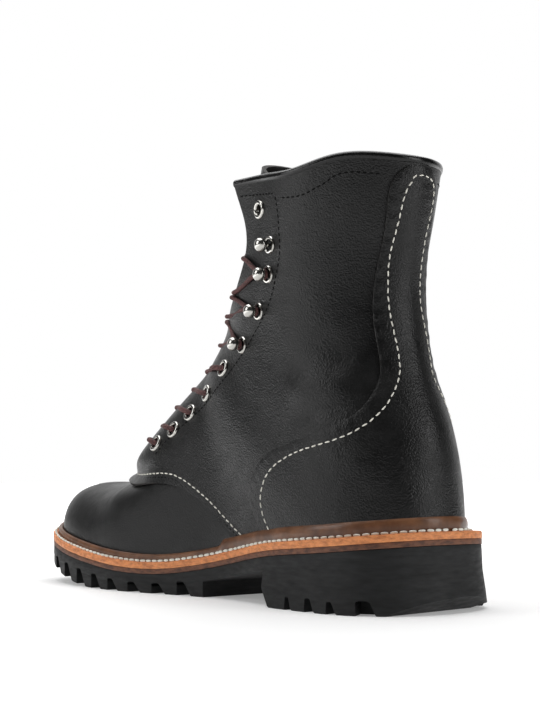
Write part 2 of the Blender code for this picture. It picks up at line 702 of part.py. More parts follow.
def heel_notches():
    """Notches round the rim of the heel, evenly spaced along its outline."""
    sides = sole_sides(HEEL_FLARE)
    path = []
    for side in (1, -1):
        forward, across = sides[side]
        kept = forward < HEEL_BREAST - GROOVE_OUTSIDE
        run = np.stack([across[kept], forward[kept]], -1)
        path.append(run[::-1] if side > 0 else run)
    path = np.concatenate(path)
    run = np.r_[0, np.cumsum(np.linalg.norm(np.diff(path, axis=0), axis=1))]
    count = int(run[-1] // HEEL_NOTCH_PITCH)
    mesh = bmesh.new()
    for k in range(count):
        place = (k + 0.5) * run[-1] / count
        middle = np.array([np.interp(place, run, path[:, i]) for i in (0, 1)])
        after = np.array([np.interp(place + 1, run, path[:, i]) for i in (0, 1)])
        tangent = (after - middle) / np.linalg.norm(after - middle)
        inward = np.array([-tangent[1], tangent[0]])
        inward *= np.sign(inward @ (np.array([0.0, HEEL_ROUND]) - middle))
        corners = []
        for reach in (-GROOVE_OUTSIDE, HEEL_NOTCH_DEEP):
            for shift in (-GROOVE_WIDE / 2, GROOVE_WIDE / 2):
                corners.append(middle + inward * reach + tangent * shift)
        low = [mesh.verts.new(world((*corner, GROOVE_FLOOR))) for corner in corners]
        high = [mesh.verts.new(world((*corner, HEEL_NOTCH_HIGH))) for corner in corners]
        ring = (0, 1, 3, 2)
        mesh.faces.new([low[i] for i in ring])
        mesh.faces.new([high[i] for i in ring[::-1]])
        for i, j in zip(ring, ring[1:] + ring[:1]):
            mesh.faces.new((low[i], high[i], high[j], low[j]))
    bmesh.ops.recalc_face_normals(mesh, faces=mesh.faces)
    return mesh


def make_heel(parts, cutters, material):
    foot, seat = sole_sides(HEEL_FLARE), sole_sides(-BASE_INSET)
    block = plate(foot, seat, heel_bottom, heel_top, SOLE_START, HEEL_BREAST)
    heel = link("heel", block, material, parts)
    for name, mesh in (
        ("heel_bevel", side_prism(HEEL_BEVEL)),
        ("breast_chamfer", side_prism(BREAST_CHAMFER)),
        ("heel_notches", heel_notches()),
    ):
        cut_with(heel, link_cutter(name, mesh, cutters), "DIFFERENCE", mends_self=True)


def make_layers(parts, materials):
    sides = sole_sides(0.0)
    midsole = plate(sides, sides, midsole_bottom, midsole_top, SOLE_START, SOLE_END)
    link("midsole", midsole, materials["tan_edge"], parts)
    sides = sole_sides(-SLIP_INSET)
    slip_sole = plate(sides, sides, slip_bottom, slip_top, SOLE_START, SOLE_END)
    link("slip_sole", slip_sole, materials["dark_edge"], parts)


def feather_ring(rows):
    """Lower edge of the upper, round the boot from heel to heel: places and outward directions."""
    bottoms = share_at_line(rows, feather_line)
    corner = int(np.argmax(bottoms >= 1))
    inner = form_point(rows[: corner + 1], bottoms[: corner + 1], 1)
    outer = form_point(rows[: corner + 1], bottoms[: corner + 1], -1)
    ring = np.concatenate([inner[::-1], outer[1:-1]])
    tangent = np.roll(ring, -1, 0) - np.roll(ring, 1, 0)
    outward = np.stack([-tangent[:, 1], tangent[:, 0]], -1)
    outward /= np.linalg.norm(outward, axis=1)[:, None]
    outward *= np.sign(outward[0] @ np.array([0.0, -1.0]))
    return ring, outward


def reach_to_edge(ring, outward):
    """Distance from each ring place outwards to the edge of the sole."""
    sides = sole_sides(0.0)
    low = np.zeros(len(ring))
    high = np.full(len(ring), REACH_MOST)
    for _ in range(BISECTIONS):
        middle = (low + high) / 2
        place = ring[:, :2] + outward * middle[:, None]
        inside = (place[:, 0] < sole_across(sides, 1, place[:, 1])) & (
            place[:, 0] > sole_across(sides, -1, place[:, 1])
        ) & (place[:, 1] > 0) & (place[:, 1] < DRAWN_LENGTH)
        low = np.where(inside, middle, low)
        high = np.where(inside, high, middle)
    return low


def lean_outwards(ring, outward, rise):
    """How far the last moves outwards, from each ring place, in this much rise."""
    leans = []
    for place, direction in zip(ring, outward):
        low, high = LEAN_LEAST, LEAN_MOST
        for _ in range(BISECTIONS):
            lean = (low + high) / 2
            across, forward = place[:2] + direction * lean
            row, share = row_through(forward, place[2] + rise)
            cut = section(row)
            past_end = row < END_TOLERANCE or forward < side_view(cut, 1.0)[0]
            side = 1 if across > cut["swing"] else -1
            if past_end or abs(across - cut["swing"]) > half_width(cut, share, side):
                high = lean
            else:
                low = lean
        leans.append(max(lean, 0.0))
    return np.array(leans)


def make_welt(parts, material):
    """A strip round the upper with a raised inner lip."""
    ring, outward = feather_ring(upper_rows(UPPER_COLUMNS))
    over_vamp = np.clip((ring[:, 1] - WELT_JOINT) / WELT_JOINT_LONG, 0, 1)
    start = QUARTER_STEP * (1 - over_vamp) + WELT_CLEAR
    lean = lean_outwards(ring, outward, WELT_LIP[2][1])
    reach = np.maximum(reach_to_edge(ring, outward) - WELT_INSET, start + lean + WELT_LEAST)
    mesh = bmesh.new()
    rings = []
    profile = [(start, GAP), (reach, GAP), (reach, WELT_EDGE_HIGH)]
    profile += [(start + lean + out, high) for out, high in WELT_LIP]
    for out, high in profile:
        place = ring[:, :2] + outward * np.broadcast_to(out, len(ring))[:, None]
        level = midsole_top(np.clip(place[:, 1], 0, DRAWN_LENGTH)) + high
        points = world(np.concatenate([place, level[:, None]], 1))
        rings.append([mesh.verts.new(point) for point in points])
    count = len(ring)
    for here, there in zip(rings, rings[1:] + rings[:1]):
        for i in range(count):
            j = (i + 1) % count
            mesh.faces.new((here[i], here[j], there[j], there[i]))
    bmesh.ops.recalc_face_normals(mesh, faces=mesh.faces)
    link("welt", mesh, material, parts)


def make_insole(parts, material):
    """A board inside the upper, on the midsole."""
    ring, outward = feather_ring(upper_rows(UPPER_COLUMNS))
    place = ring[:, :2] - outward * (WALL + INSOLE_CLEAR)
    half = len(ring) // 2
    mesh = bmesh.new()
    levels = []
    for high in (GAP, GAP + INSOLE_THICK):
        level = midsole_top(place[:, 1]) + high
        points = world(np.concatenate([place, level[:, None]], 1))
        levels.append([mesh.verts.new(point) for point in points])
    count = len(ring)
    for i in range(count):
        j = (i + 1) % count
        mesh.faces.new((levels[0][i], levels[0][j], levels[1][j], levels[1][i]))
    for level in levels:
        for i in range(half):
            a, b = level[i], level[i + 1]
            c, d = level[(count - i - 1) % count], level[(count - i) % count]
            corners = list(dict.fromkeys((a, b, c, d)))
            if len(corners) > 2:
                mesh.faces.new(corners)
    bmesh.ops.recalc_face_normals(mesh, faces=mesh.faces)
    link("insole", mesh, material, parts)


def stand_on(mesh, forward, high, side, out):
    """Moves a mesh modelled along +Z to stand on the last, with its +X towards the throat."""
    point, normal, ahead = surface_frame(forward, high, side)
    up = Vector((normal[0], -normal[1], normal[2]))
    front = Vector((ahead[0], -ahead[1], ahead[2]))
    front = (front - up * front.dot(up)).normalized()
    turn = Matrix((front, up.cross(front), up)).transposed().to_4x4()
    place = Matrix.Translation(Vector(world(point)) + up * out * MM)
    bmesh.ops.transform(mesh, matrix=place @ turn, verts=mesh.verts)


def torus_mesh(radius, wire, around, section_sides):
    mesh = bmesh.new()
    ring = []
    for k in range(around):
        angle = 2 * np.pi * k / around
        loop = []
        for m in range(section_sides):
            tilt = 2 * np.pi * (m + 0.5) / section_sides
            out = radius + wire * np.cos(tilt)
            place = (out * np.cos(angle), out * np.sin(angle), wire * np.sin(tilt))
            loop.append(mesh.verts.new(Vector(place) * MM))
        ring.append(loop)
    for k in range(around):
        here, there = ring[k], ring[(k + 1) % around]
        for m in range(section_sides):
            n = (m + 1) % section_sides
            mesh.faces.new((here[m], there[m], there[n], here[n]))
    bmesh.ops.recalc_face_normals(mesh, faces=mesh.faces)
    return mesh


def make_eyelets(parts, material):
    for side, word in ((1, "inner"), (-1, "outer")):
        for k, (forward, high) in enumerate(EYELETS, 1):
            mesh = torus_mesh(EYELET_RADIUS, EYELET_WIRE, EYELET_SIDES, EYELET_WIRE_SIDES)
            stand_on(mesh, forward, high, side, QUARTER_STEP + GAP + EYELET_WIRE)
            link(f"eyelet_{word}_{k}", mesh, material, parts)


def cylinder(mesh, radius, low, high, sides, shift=0.0):
    size = radius * MM
    depth = (high - low) * MM
    made = bmesh.ops.create_cone(
        mesh, cap_ends=True, segments=sides, radius1=size, radius2=size, depth=depth
    )
    bmesh.ops.translate(mesh, verts=made["verts"], vec=(shift * MM, 0, (low + high) / 2 * MM))


def make_hooks(parts, cutters, material):
    """Lace hooks: a round plate, a leaning stem and a ball head, joined."""
    for side, word in ((1, "inner"), (-1, "outer")):
        for k, (forward, high) in enumerate(HOOKS, 1):
            lift = QUARTER_STEP + GAP
            plate_mesh = bmesh.new()
            cylinder(plate_mesh, HOOK_PLATE_RADIUS, 0.0, HOOK_PLATE_HIGH, HOOK_PLATE_SIDES)
            stand_on(plate_mesh, forward, high, side, lift)
            hook = link(f"hook_{word}_{k}", plate_mesh, material, parts)
            stem = bmesh.new()
            low = HOOK_PLATE_HIGH / 2
            cylinder(stem, HOOK_STEM_RADIUS, low, HOOK_BALL_OUT, HOOK_STEM_SIDES, HOOK_BALL_FORWARD / 2)
            stand_on(stem, forward, high, side, lift)
            cut_with(hook, link_cutter(f"stem_{word}_{k}", stem, cutters), "UNION")
            ball = bmesh.new()
            size = HOOK_BALL_RADIUS * MM
            bmesh.ops.create_uvsphere(
                ball, u_segments=HOOK_BALL_SIDES, v_segments=HOOK_BALL_RINGS, radius=size
            )
            bmesh.ops.translate(ball, verts=ball.verts, vec=(HOOK_BALL_FORWARD * MM, 0, HOOK_BALL_OUT * MM))
            stand_on(ball, forward, high, side, lift)
            cut_with(hook, link_cutter(f"ball_{word}_{k}", ball, cutters), "UNION")


def lace_stations():
    """Side view places of the laced eyelets and hooks, from the toe up."""
    return EYELETS[:5] + HOOKS[:3]


def tongue_row_at(high):
    rows = np.linspace(0, len(TONGUE_ROWS) - 1, TONGUE_SAMPLES)
    return float(np.interp(high, TONGUE_CURVE(rows)[:, 1], rows))


def clear_of_tongue(place, out):
    """Moves a place straight out from the tongue where it's nearer than this."""
    row = tongue_row_at(place[2])
    front, front_high, edge, edge_high, half, swing = TONGUE_CURVE(row)
    turn = np.arcsin(np.clip((place[0] - swing) / (half + out), -1, 1))
    away = np.array([0.0, front - edge, front_high - edge_high])
    away /= np.linalg.norm(away)
    short = (tongue_point(row, turn, out) - place) @ away
    return place + away * max(short, 0.0)


def lace_path(low, high, side):
    """One cord from a low eyelet's facing edge, over the tongue, to the other side's next facing edge."""
    out = LACE_RADIUS + LACE_CLEAR + (LACE_OVER if side < 0 else 0.0)
    ends = []
    for (forward, height), where in ((low, side), (high, -side)):
        row, _ = row_through(forward, height)
        seat = form_point(row, throat_share(row), where)
        cut = section(row)
        lift = np.array([0.0, cut["front"] - cut["back"], cut["front_high"] - cut["back_high"]])
        lift /= np.linalg.norm(lift)
        ends.append(seat + lift * (out + QUARTER_STEP + LACE_EDGE_LIFT))
    middle = (ends[0] + ends[1]) / 2
    bow = clear_of_tongue(middle, out + LACE_CLEAR) - middle
    share = np.linspace(0, 1, LACE_POINTS)[:, None]
    path = ends[0] * (1 - share) + ends[1] * share + 4 * share * (1 - share) * bow
    return np.array([clear_of_tongue(place, out) for place in path])


def make_laces(parts, cutters, material):
    """The bar at the lowest eyelets and the crossings above it, each joined into one solid."""
    stations = lace_stations()
    first = stations[0]
    link("lace_bar", cord_mesh(lace_path(first, first, 1), LACE_RADIUS), material, parts)
    for k, (below, above) in enumerate(zip(stations, stations[1:]), 1):
        name = f"lace_cross_{k}"
        rise = LACE_END_SHARE * np.subtract(above, below)
        low, high = np.add(below, rise), np.subtract(above, rise)
        cross = link(name, cord_mesh(lace_path(low, high, 1), LACE_RADIUS), material, parts)
        other = link_cutter(f"{name}_other", cord_mesh(lace_path(low, high, -1), LACE_RADIUS), cutters)
        cut_with(cross, other, "UNION")


def shade(parts):
    for obj in parts.objects:
        obj.data.shade_smooth()
        obj.data.set_sharp_from_angle(angle=np.radians(SHARP_ANGLE))


def main():
    clear_scene()
    parts = new_collection("work_boot")
    cutters = new_collection("cutters")
    materials = {name: new_material(name) for name in MATERIALS}
    make_outsole(parts, cutters, materials["rubber"])
    make_heel(parts, cutters, materials["rubber"])
    make_layers(parts, materials)
    make_welt(parts, materials["welt_leather"])
    make_insole(parts, materials["insole_leather"])
    make_upper(parts, cutters, materials["leather"])
    make_binding(parts, materials["leather"])
    make_tongue(parts, materials["leather"])
    make_eyelets(parts, materials["nickel"])
    make_hooks(parts, cutters, materials["nickel"])
    make_laces(parts, cutters, materials["cord"])
    shade(parts)


main()
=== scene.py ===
"""Work boot for the right foot: leather panels, stitching, lace and a layered sole over the frame's solids.

Tables are in millimetres. Forward runs from the back of the heel to the toe, height runs up from the floor, and
the inner side is the big toe's side. The shapes repeat the part's own tables, with finer grids.
"""

import bmesh
import bpy
import numpy as np
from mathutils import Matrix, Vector


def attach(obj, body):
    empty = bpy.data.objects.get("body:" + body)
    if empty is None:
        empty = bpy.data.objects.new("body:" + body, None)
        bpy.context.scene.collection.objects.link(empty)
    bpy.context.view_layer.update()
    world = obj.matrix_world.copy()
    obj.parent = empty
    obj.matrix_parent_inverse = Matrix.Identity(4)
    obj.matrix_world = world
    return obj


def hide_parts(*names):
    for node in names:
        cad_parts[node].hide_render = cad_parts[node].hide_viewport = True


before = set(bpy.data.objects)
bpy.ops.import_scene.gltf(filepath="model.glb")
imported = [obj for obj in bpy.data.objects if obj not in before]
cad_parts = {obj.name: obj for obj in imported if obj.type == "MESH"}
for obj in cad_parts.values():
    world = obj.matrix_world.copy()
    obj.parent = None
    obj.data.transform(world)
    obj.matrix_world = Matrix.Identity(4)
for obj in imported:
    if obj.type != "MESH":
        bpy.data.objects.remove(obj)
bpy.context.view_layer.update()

MM = 0.001
WELD = 0.004
BISECTIONS = 36
GAP = 0.3
SHARP_ANGLE = 40.0
SHARE_ENDS = (0.004, 0.996)
SHARE_STEP = 0.003
ROW_STEP = 0.02

# Form of the last and of the sole, as in the part
COLUMNS = (
    "front", "front_high", "back", "back_high", "widest", "inner", "outer",
    "swing", "front_power", "back_power", "throat", "flare", "hollow", "hollow_at",
)
SECTIONS = (
    (299.0, 40.0, 299.0, 12.0, 0.6, 0.0, 0.0, 4.0, 2.2, 2.6, 0.0, 0.0, 0.0, 0.03),
    (297.4, 46.0, 297.4, 10.0, 0.58, 13.5, 15.0, 4.0, 2.2, 2.6, 0.0, 0.0, 0.0, 0.03),
    (292.6, 51.5, 292.6, 8.0, 0.56, 22.5, 26.0, 3.6, 2.3, 2.6, 0.0, 0.0, 0.0, 0.03),
    (283.5, 55.6, 283.5, 5.0, 0.56, 30.5, 35.0, 3.0, 2.4, 2.6, 0.0, 0.0, 0.0, 0.03),
    (269.0, 57.4, 269.0, 2.0, 0.57, 37.5, 42.8, 2.2, 2.4, 2.6, 0.0, 0.0, 0.0, 0.03),
    (250.0, 56.8, 250.0, -2.0, 0.59, 42.5, 49.0, 1.0, 2.4, 2.6, 0.0, 0.0, 0.0, 0.04),
    (230.0, 63.0, 229.0, -6.0, 0.64, 45.2, 52.0, 0.4, 2.3, 2.6, 0.0, 0.0, 6.6, 0.065),
    (211.0, 80.0, 205.0, -9.0, 0.7, 46.2, 52.8, 0.0, 2.3, 2.6, 0.04, 0.0, 8.6, 0.225),
    (192.0, 97.0, 174.0, -9.0, 0.72, 43.0, 49.5, -0.8, 2.5, 2.6, 0.05, 0.0, 2.6, 0.33),
    (175.5, 110.0, 138.0, -4.0, 0.7, 38.3, 44.5, -1.6, 2.7, 2.7, 0.05, 0.0, 0.0, 0.36),
    (163.5, 119.5, 100.0, 3.0, 0.67, 35.0, 40.5, -1.6, 2.8, 2.9, 0.05, 0.0, 0.0, 0.36),
    (156.0, 126.0, 60.0, 6.0, 0.65, 37.4, 39.2, -0.8, 2.7, 3.0, 0.045, 0.0, 0.0, 0.36),
    (151.5, 131.0, 24.5, 10.0, 0.63, 38.8, 38.0, -0.2, 2.6, 2.8, 0.04, 0.0, 0.0, 0.36),
    (148.5, 135.5, 7.5, 25.0, 0.62, 37.6, 36.4, 0.0, 2.6, 2.2, 0.04, 0.0, 0.0, 0.36),
    (146.5, 140.0, 7.3, 52.0, 0.61, 36.8, 36.0, 0.0, 2.5, 2.1, 0.045, 0.0, 0.0, 0.36),
    (144.5, 145.0, 10.8, 80.0, 0.59, 36.0, 35.4, 0.0, 2.4, 1.85, 0.075, 1.0, 0.0, 0.36),
    (142.0, 151.0, 20.0, 105.0, 0.57, 36.0, 36.0, 0.0, 2.2, 1.75, 0.125, 5.0, 0.0, 0.36),
    (138.5, 158.5, 26.0, 128.0, 0.55, 36.6, 36.6, 0.0, 2.0, 1.8, 0.19, 12.0, 0.0, 0.36),
    (134.5, 167.0, 27.2, 148.0, 0.54, 37.8, 37.8, 0.0, 1.9, 1.75, 0.25, 21.0, 0.0, 0.36),
    (130.5, 177.0, 24.7, 168.0, 0.54, 39.2, 39.2, 0.0, 1.8, 1.7, 0.275, 28.0, 0.0, 0.36),
    (127.0, 189.0, 21.0, 186.0, 0.54, 40.6, 40.6, 0.0, 1.8, 1.7, 0.24, 31.0, 0.0, 0.36),
    (124.5, 204.0, 17.5, 205.0, 0.54, 42.0, 42.0, 0.0, 1.8, 1.7, 0.165, 32.0, 0.0, 0.36),
    (121.0, 226.0, 12.5, 227.0, 0.54, 43.6, 43.6, 0.0, 1.8, 1.7, 0.08, 32.0, 0.0, 0.36),
)
FLARE_REACH = 0.42
HOLLOW_SPREAD = 0.08
HOLLOW_LIMIT = 0.5
THROAT_ROW = 6.25
COLLAR_ROW = 21.0
COLLAR_RAMP_ROW = 18.0
ROW_RISE = 21.0
COLLAR_WAVE = (1.0, 1.0, 0.0, -1.5, 3.2, 2.0)
TOP_LINE = (
    (0.0, 37.3), (40.0, 33.4), (80.0, 30.0), (110.0, 25.5), (140.0, 20.4),
    (170.0, 16.9), (200.0, 17.4), (235.0, 20.8), (270.0, 25.8), (305.0, 32.5),
)
QUARTER_EDGE = (
    (100.0, 14.0), (116.0, 30.0), (135.0, 44.0), (151.5, 52.8), (164.0, 56.0),
    (180.0, 56.8), (196.0, 55.4), (212.0, 55.8), (226.0, 59.5), (240.0, 63.0),
)
COUNTER_EDGE = (
    (86.0, 31.6), (89.4, 37.0), (93.4, 43.0), (95.5, 50.5), (94.2, 57.5), (90.2, 63.6), (81.6, 71.2),
    (67.0, 75.8), (43.9, 82.8), (30.7, 90.3), (28.2, 96.5), (27.6, 105.0), (29.5, 115.7), (32.7, 131.0),
    (33.3, 147.0), (29.6, 168.0), (25.6, 186.0), (23.4, 196.0), (21.0, 201.6), (18.7, 205.2),
)
OUTLINE = (
    (0.0, 44.6, 43.4), (44.0, 44.6, 43.6), (78.0, 43.8, 43.8), (118.0, 37.4, 45.2),
    (160.0, 42.6, 52.2), (201.0, 51.4, 58.0), (245.0, 51.4, 58.0), (305.0, 51.4, 58.0),
)
SOLE_LENGTH = 305.0
HEEL_OVERHANG = 1.64
HALF_RUN = (SOLE_LENGTH - HEEL_OVERHANG) / 2
CENTRE = 3.3
HEEL_ROUND = 44.0
HEEL_POWER = 2.4
BALL_FORWARD = 201.0
TOE_POWER = 2.55
TOE_SWING = 3.7
TONGUE_ROWS = (
    (224.6, 64.0, 224.6, 59.6, 15.4, -0.8),
    (210.8, 75.9, 210.2, 69.0, 22.0, -1.0),
    (191.4, 93.3, 189.9, 84.6, 24.0, -2.4),
    (174.3, 106.4, 170.4, 94.5, 24.5, -3.0),
    (161.7, 116.2, 153.4, 101.0, 24.5, -2.4),
    (153.6, 123.0, 141.3, 107.6, 25.0, -1.0),
    (145.5, 133.2, 123.4, 116.4, 23.8, 0.2),
    (141.0, 143.3, 112.4, 129.8, 25.4, 0.1),
    (136.5, 158.5, 97.0, 148.0, 28.5, 0.0),
    (130.5, 177.5, 88.0, 172.0, 31.0, 0.0),
    (126.0, 193.0, 86.0, 190.0, 32.0, 0.0),
    (121.5, 208.0, 87.0, 201.0, 31.5, 0.0),
    (117.0, 222.0, 89.0, 208.0, 30.5, 0.0),
)
EYELETS = ((185.3, 77.8), (171.8, 84.9), (160.3, 93.6), (145.5, 103.4), (128.4, 115.3), (87.6, 190.6))
HOOKS = ((109.5, 126.0), (92.6, 141.4), (82.2, 158.3), (79.3, 172.2))

# Thicknesses
WALL = 1.8
QUARTER_STEP = 1.4
COUNTER_IN = 1.45
COUNTER_OUT = 3.2
TONGUE_THICK = 2.4
MIDSOLE_THICK = 3.9
SLIP_THICK = 2.8
BASE_THICK = 5.8

# Tread and heel
TREAD_REAR = 137.0
TREAD_FLAT_END = 222.0
TOE_SPRING = 17.5
SPRING_POWER = 1.7
LUG_PITCH = 17.0
LUG_FIRST = 153.0
LUG_COUNT = 8
GROOVE_LONG = 24.0
RIB_OFFSET = 15.0
HEEL_BREAST = 80.0
HEEL_FLARE = 2.2
HEEL_NOTCH_DEEP = 11.0
HEEL_NOTCH_LOW = -2.0
HEEL_NOTCHES = ((0.069, 6.0, 5.6, 2.2), (0.138, 6.3, 8.0, 3.2), (0.204, 5.6, 6.8, 2.6), (0.285, 6.6, 10.5, 6.2))
HEEL_CHAMFER = ((71.0, -6.0), (95.0, -6.0), (95.0, 20.0), (81.0, 10.0), (73.0, 0.0))
HEEL_BEVEL = ((-30.0, -6.0), (13.5, -6.0), (11.5, 0.0), (-5.0, 8.75), (-30.0, 22.0))
HEEL_BEVEL_SLANT = 9.0
CUT_HALF = 80.0
PAST_END = 5.0
GROOVE_FLOOR = -8.0
GROOVE_BELOW = 3.0
GROOVE_INTO = 1.8
GROOVE_WIDE = (11.5, 4.6)
GROOVE_OUTSIDE = 6.0
NOTCH_SHARES = (0.0, 0.35, 0.7, 0.93, 1.0)
NOTCH_TRIM = 0.18
RIB_HALF = 3.0
TREAD_RISE = 0.6

# Welt and edges of the layers
WELT_JOINT = 124.0
WELT_JOINT_LONG = 8.0
WELT_PITCH = 4.2
WELT_SIZE = (3.5, 1.2, 1.35)
WELT_LIP = (3.4, 2.9)
WELT_LIP_FROM = 6
WELT_LEAN_RISE = 4.5
SHELF_DROP = 0.5
EDGE_DROP = 0.9
EDGE_DROP_LOW = 0.2

# Hardware and lace
EYELET_RADIUS = 3.55
EYELET_WIRE = 1.15
HOLE_RADIUS = 3.1
HOLE_DEPTH = 6.0
HOOKS_FROM = 5
HOOKS_LACED = 3
HOOK_TURN = 1.5
HOOK_TURN_ANGLES = (-55.0, -120.0, 180.0, 120.0, 55.0)
HOOK_TURN_OVER = 2.0
HOOK_BALL = (3.5, 3.0)
HOOK_BALL_PLACE = (0.4, 4.8)
HOOK_BASE = ((2.7, -0.2), (4.3, -0.2), (4.4, 0.35), (4.0, 0.9), (3.4, 1.0), (2.9, 0.7), (2.7, -0.2))
HOOK_STEM = ((0.0, 0.5), (0.1, 1.8), (0.25, 3.2), (0.4, 4.6))
HOOK_STEM_RADIUS = 1.1
HOOK_EDGE_ROWS = ((12.48, 15.1), (15.6, 16.85), (17.1, 18.55))
HOOK_PRESS = 0.1
EYELET_EDGE_ROWS = (7.2, 7.72, 8.4, 9.22, 10.25)
LACE_RADIUS = 1.15
LACE_SHARES = (0.2, 0.4, 0.6, 0.8)
LACE_CLEAR = 0.3
LACE_BEND = 1.5
LACE_RING = 3.0
LACE_PRESS = 1.15
LACE_INSIDE = 2.6
LACE_FULL = 0.22
LACE_FULL_BELOW = 124.0
LACE_FULL_FADE = 6.0
LACE_SIDES = 12


def natural_cubic(knots, values):
    """A smooth curve through the rows of a table."""
    knots = np.asarray(knots, float)
    values = np.asarray(values, float)
    count = len(knots)
    step = np.diff(knots)
    matrix = np.eye(count)
    right = np.zeros_like(values)
    for i in range(1, count - 1):
        matrix[i, i - 1 : i + 2] = step[i - 1], 2 * (step[i - 1] + step[i]), step[i]
        right[i] = 6 * ((values[i + 1] - values[i]) / step[i] - (values[i] - values[i - 1]) / step[i - 1])
    bend = np.linalg.solve(matrix, right)

    def at(where):
        where = np.clip(np.asarray(where, float), knots[0], knots[-1])
        i = np.clip(np.searchsorted(knots, where) - 1, 0, count - 2)
        width = step[i]
        after = (where - knots[i]) / width
        if values.ndim == 2:
            width, after = width[..., None], after[..., None]
        before = 1 - after
        curve = (before**3 - before) * bend[i] + (after**3 - after) * bend[i + 1]
        return before * values[i] + after * values[i + 1] + curve * width**2 / 6

    return at


def raised(line, lift):
    """A line of heights moved up."""
    return lambda forward: line(forward) + lift


SECTION_CURVE = natural_cubic(range(len(SECTIONS)), SECTIONS)
COLLAR_CURVE = natural_cubic(np.linspace(0, 1, len(COLLAR_WAVE)), COLLAR_WAVE)
OUTLINE_CURVE = natural_cubic([row[0] for row in OUTLINE], [row[1:] for row in OUTLINE])
TONGUE_CURVE = natural_cubic(range(len(TONGUE_ROWS)), TONGUE_ROWS)
quarter_line = natural_cubic(*zip(*QUARTER_EDGE))
midsole_top = natural_cubic(*zip(*TOP_LINE))
feather_line = raised(midsole_top, GAP)
midsole_bottom = raised(midsole_top, -MIDSOLE_THICK)
slip_bottom = raised(midsole_bottom, -GAP - SLIP_THICK)
outsole_top = raised(slip_bottom, -GAP)
base_bottom = raised(outsole_top, -BASE_THICK)


def placed(points):
    """Table places (across, forward, height) as millimetres in the frame's axes."""
    points = np.asarray(points, float)
    return np.stack([points[..., 0] + CENTRE, HALF_RUN - points[..., 1], points[..., 2]], -1)


def smooth(value):
    value = np.clip(value, 0, 1)
    return value * value * (3 - 2 * value)


def unit(vectors):
    """Vectors at length one."""
    return vectors / np.linalg.norm(vectors, axis=-1, keepdims=True)


def square_to(direction, normal):
    """A direction turned square to a normal, at length one."""
    return unit(direction - normal * (direction @ normal))


def run_of(path):
    """How far along a path each of its places lies."""
    return np.r_[0, np.cumsum(np.linalg.norm(np.diff(path, axis=0), axis=1))]


def at_run(where, run, path):
    """The place, or the places, this far along a path."""
    return np.stack([np.interp(where, run, column) for column in path.T], -1)


def resample(path, count):
    """A path with evenly spaced places, smooth through the given ones."""
    path = np.asarray(path, float)
    run = run_of(path)
    fine = natural_cubic(run, path)(np.linspace(0, run[-1], 40 * len(path)))
    run = run_of(fine)
    return at_run(np.linspace(0, run[-1], count), run, fine)


def section(row):
    return dict(zip(COLUMNS, np.moveaxis(SECTION_CURVE(row), -1, 0)))


def half_width(cut, share, side):
    """Half width of a section at a share of the way from its front point to its back point."""
    widest = cut["widest"]
    ahead = np.clip((widest - share) / widest, 0, 1)
    behind = np.clip((share - widest) / (1 - widest), 0, 1)
    front = (1 - ahead ** cut["front_power"]) ** (1 / cut["front_power"])
    back = (1 - behind ** cut["back_power"]) ** (1 / cut["back_power"])
    size = np.maximum(np.where(np.asarray(side) > 0, cut["inner"], cut["outer"]), 0)
    flare = cut["flare"] * np.clip(1 - share / FLARE_REACH, 0, 1) ** 2
    plain = size * np.where(share < widest, front, back)
    sink = np.maximum(cut["hollow"], 0) * np.exp(-(((share - cut["hollow_at"]) / HOLLOW_SPREAD) ** 2))
    return plain - np.minimum(sink, HOLLOW_LIMIT * plain) + flare


def side_view(cut, share):
    forward = cut["front"] + share * (cut["back"] - cut["front"])
    high = cut["front_high"] + share * (cut["back_high"] - cut["front_high"])
    return forward, high


def form_flat(row, share, side):
    """A place on the last."""
    row, share = np.broadcast_arrays(np.asarray(row, float), np.asarray(share, float))
    cut = section(row)
    forward, high = side_view(cut, share)
    return np.stack([cut["swing"] + side * half_width(cut, share, side), forward, high], -1)


def waved_row(row, share):
    """The row with the collar's wave worked into the top rows."""
    ramp = np.clip((row - COLLAR_RAMP_ROW) / (COLLAR_ROW - COLLAR_RAMP_ROW), 0, 1)
    return row + ramp**2 * COLLAR_CURVE(share) / ROW_RISE


def form_point(row, share, side):
    row, share = np.broadcast_arrays(np.asarray(row, float), np.asarray(share, float))
    return form_flat(waved_row(row, share), share, side)


def row_through(forward, high):
    """The section rows and shares whose side views are at these places."""
    forward, high = np.broadcast_arrays(np.asarray(forward, float), np.asarray(high, float))
    low = np.zeros(forward.shape)
    top = np.full(forward.shape, float(len(SECTIONS) - 1))
    for _ in range(BISECTIONS):
        row = (low + top) / 2
        cut = section(row)
        along, along_high = cut["back"] - cut["front"], cut["back_high"] - cut["front_high"]
        off, off_high = forward - cut["front"], high - cut["front_high"]
        past = along * off_high - along_high * off > 0
        top = np.where(past, row, top)
        low = np.where(past, low, row)
    share = (off * along + off_high * along_high) / (along**2 + along_high**2)
    return row, np.clip(share, 0, 1)


def section_middle(row):
    """Middles of the sections, in the frame's axes."""
    cut = section(row)
    return placed(np.stack([cut["swing"], *side_view(cut, 0.5)], -1))


def frames_at(row, share, side):
    """Places, outward normals and share-wise tangents of the last, in the frame's axes."""
    share = np.clip(share, *SHARE_ENDS)

    def at(row, share):
        return placed(form_flat(row, share, side))

    point = at(row, share)
    along = at(row, share + SHARE_STEP) - at(row, share - SHARE_STEP)
    across = at(row + ROW_STEP, share) - at(row - ROW_STEP, share)
    normal = unit(np.cross(along, across))
    outwards = np.sign(np.sum(normal * (point - section_middle(row)), -1))
    return point, normal * outwards[..., None], unit(along)


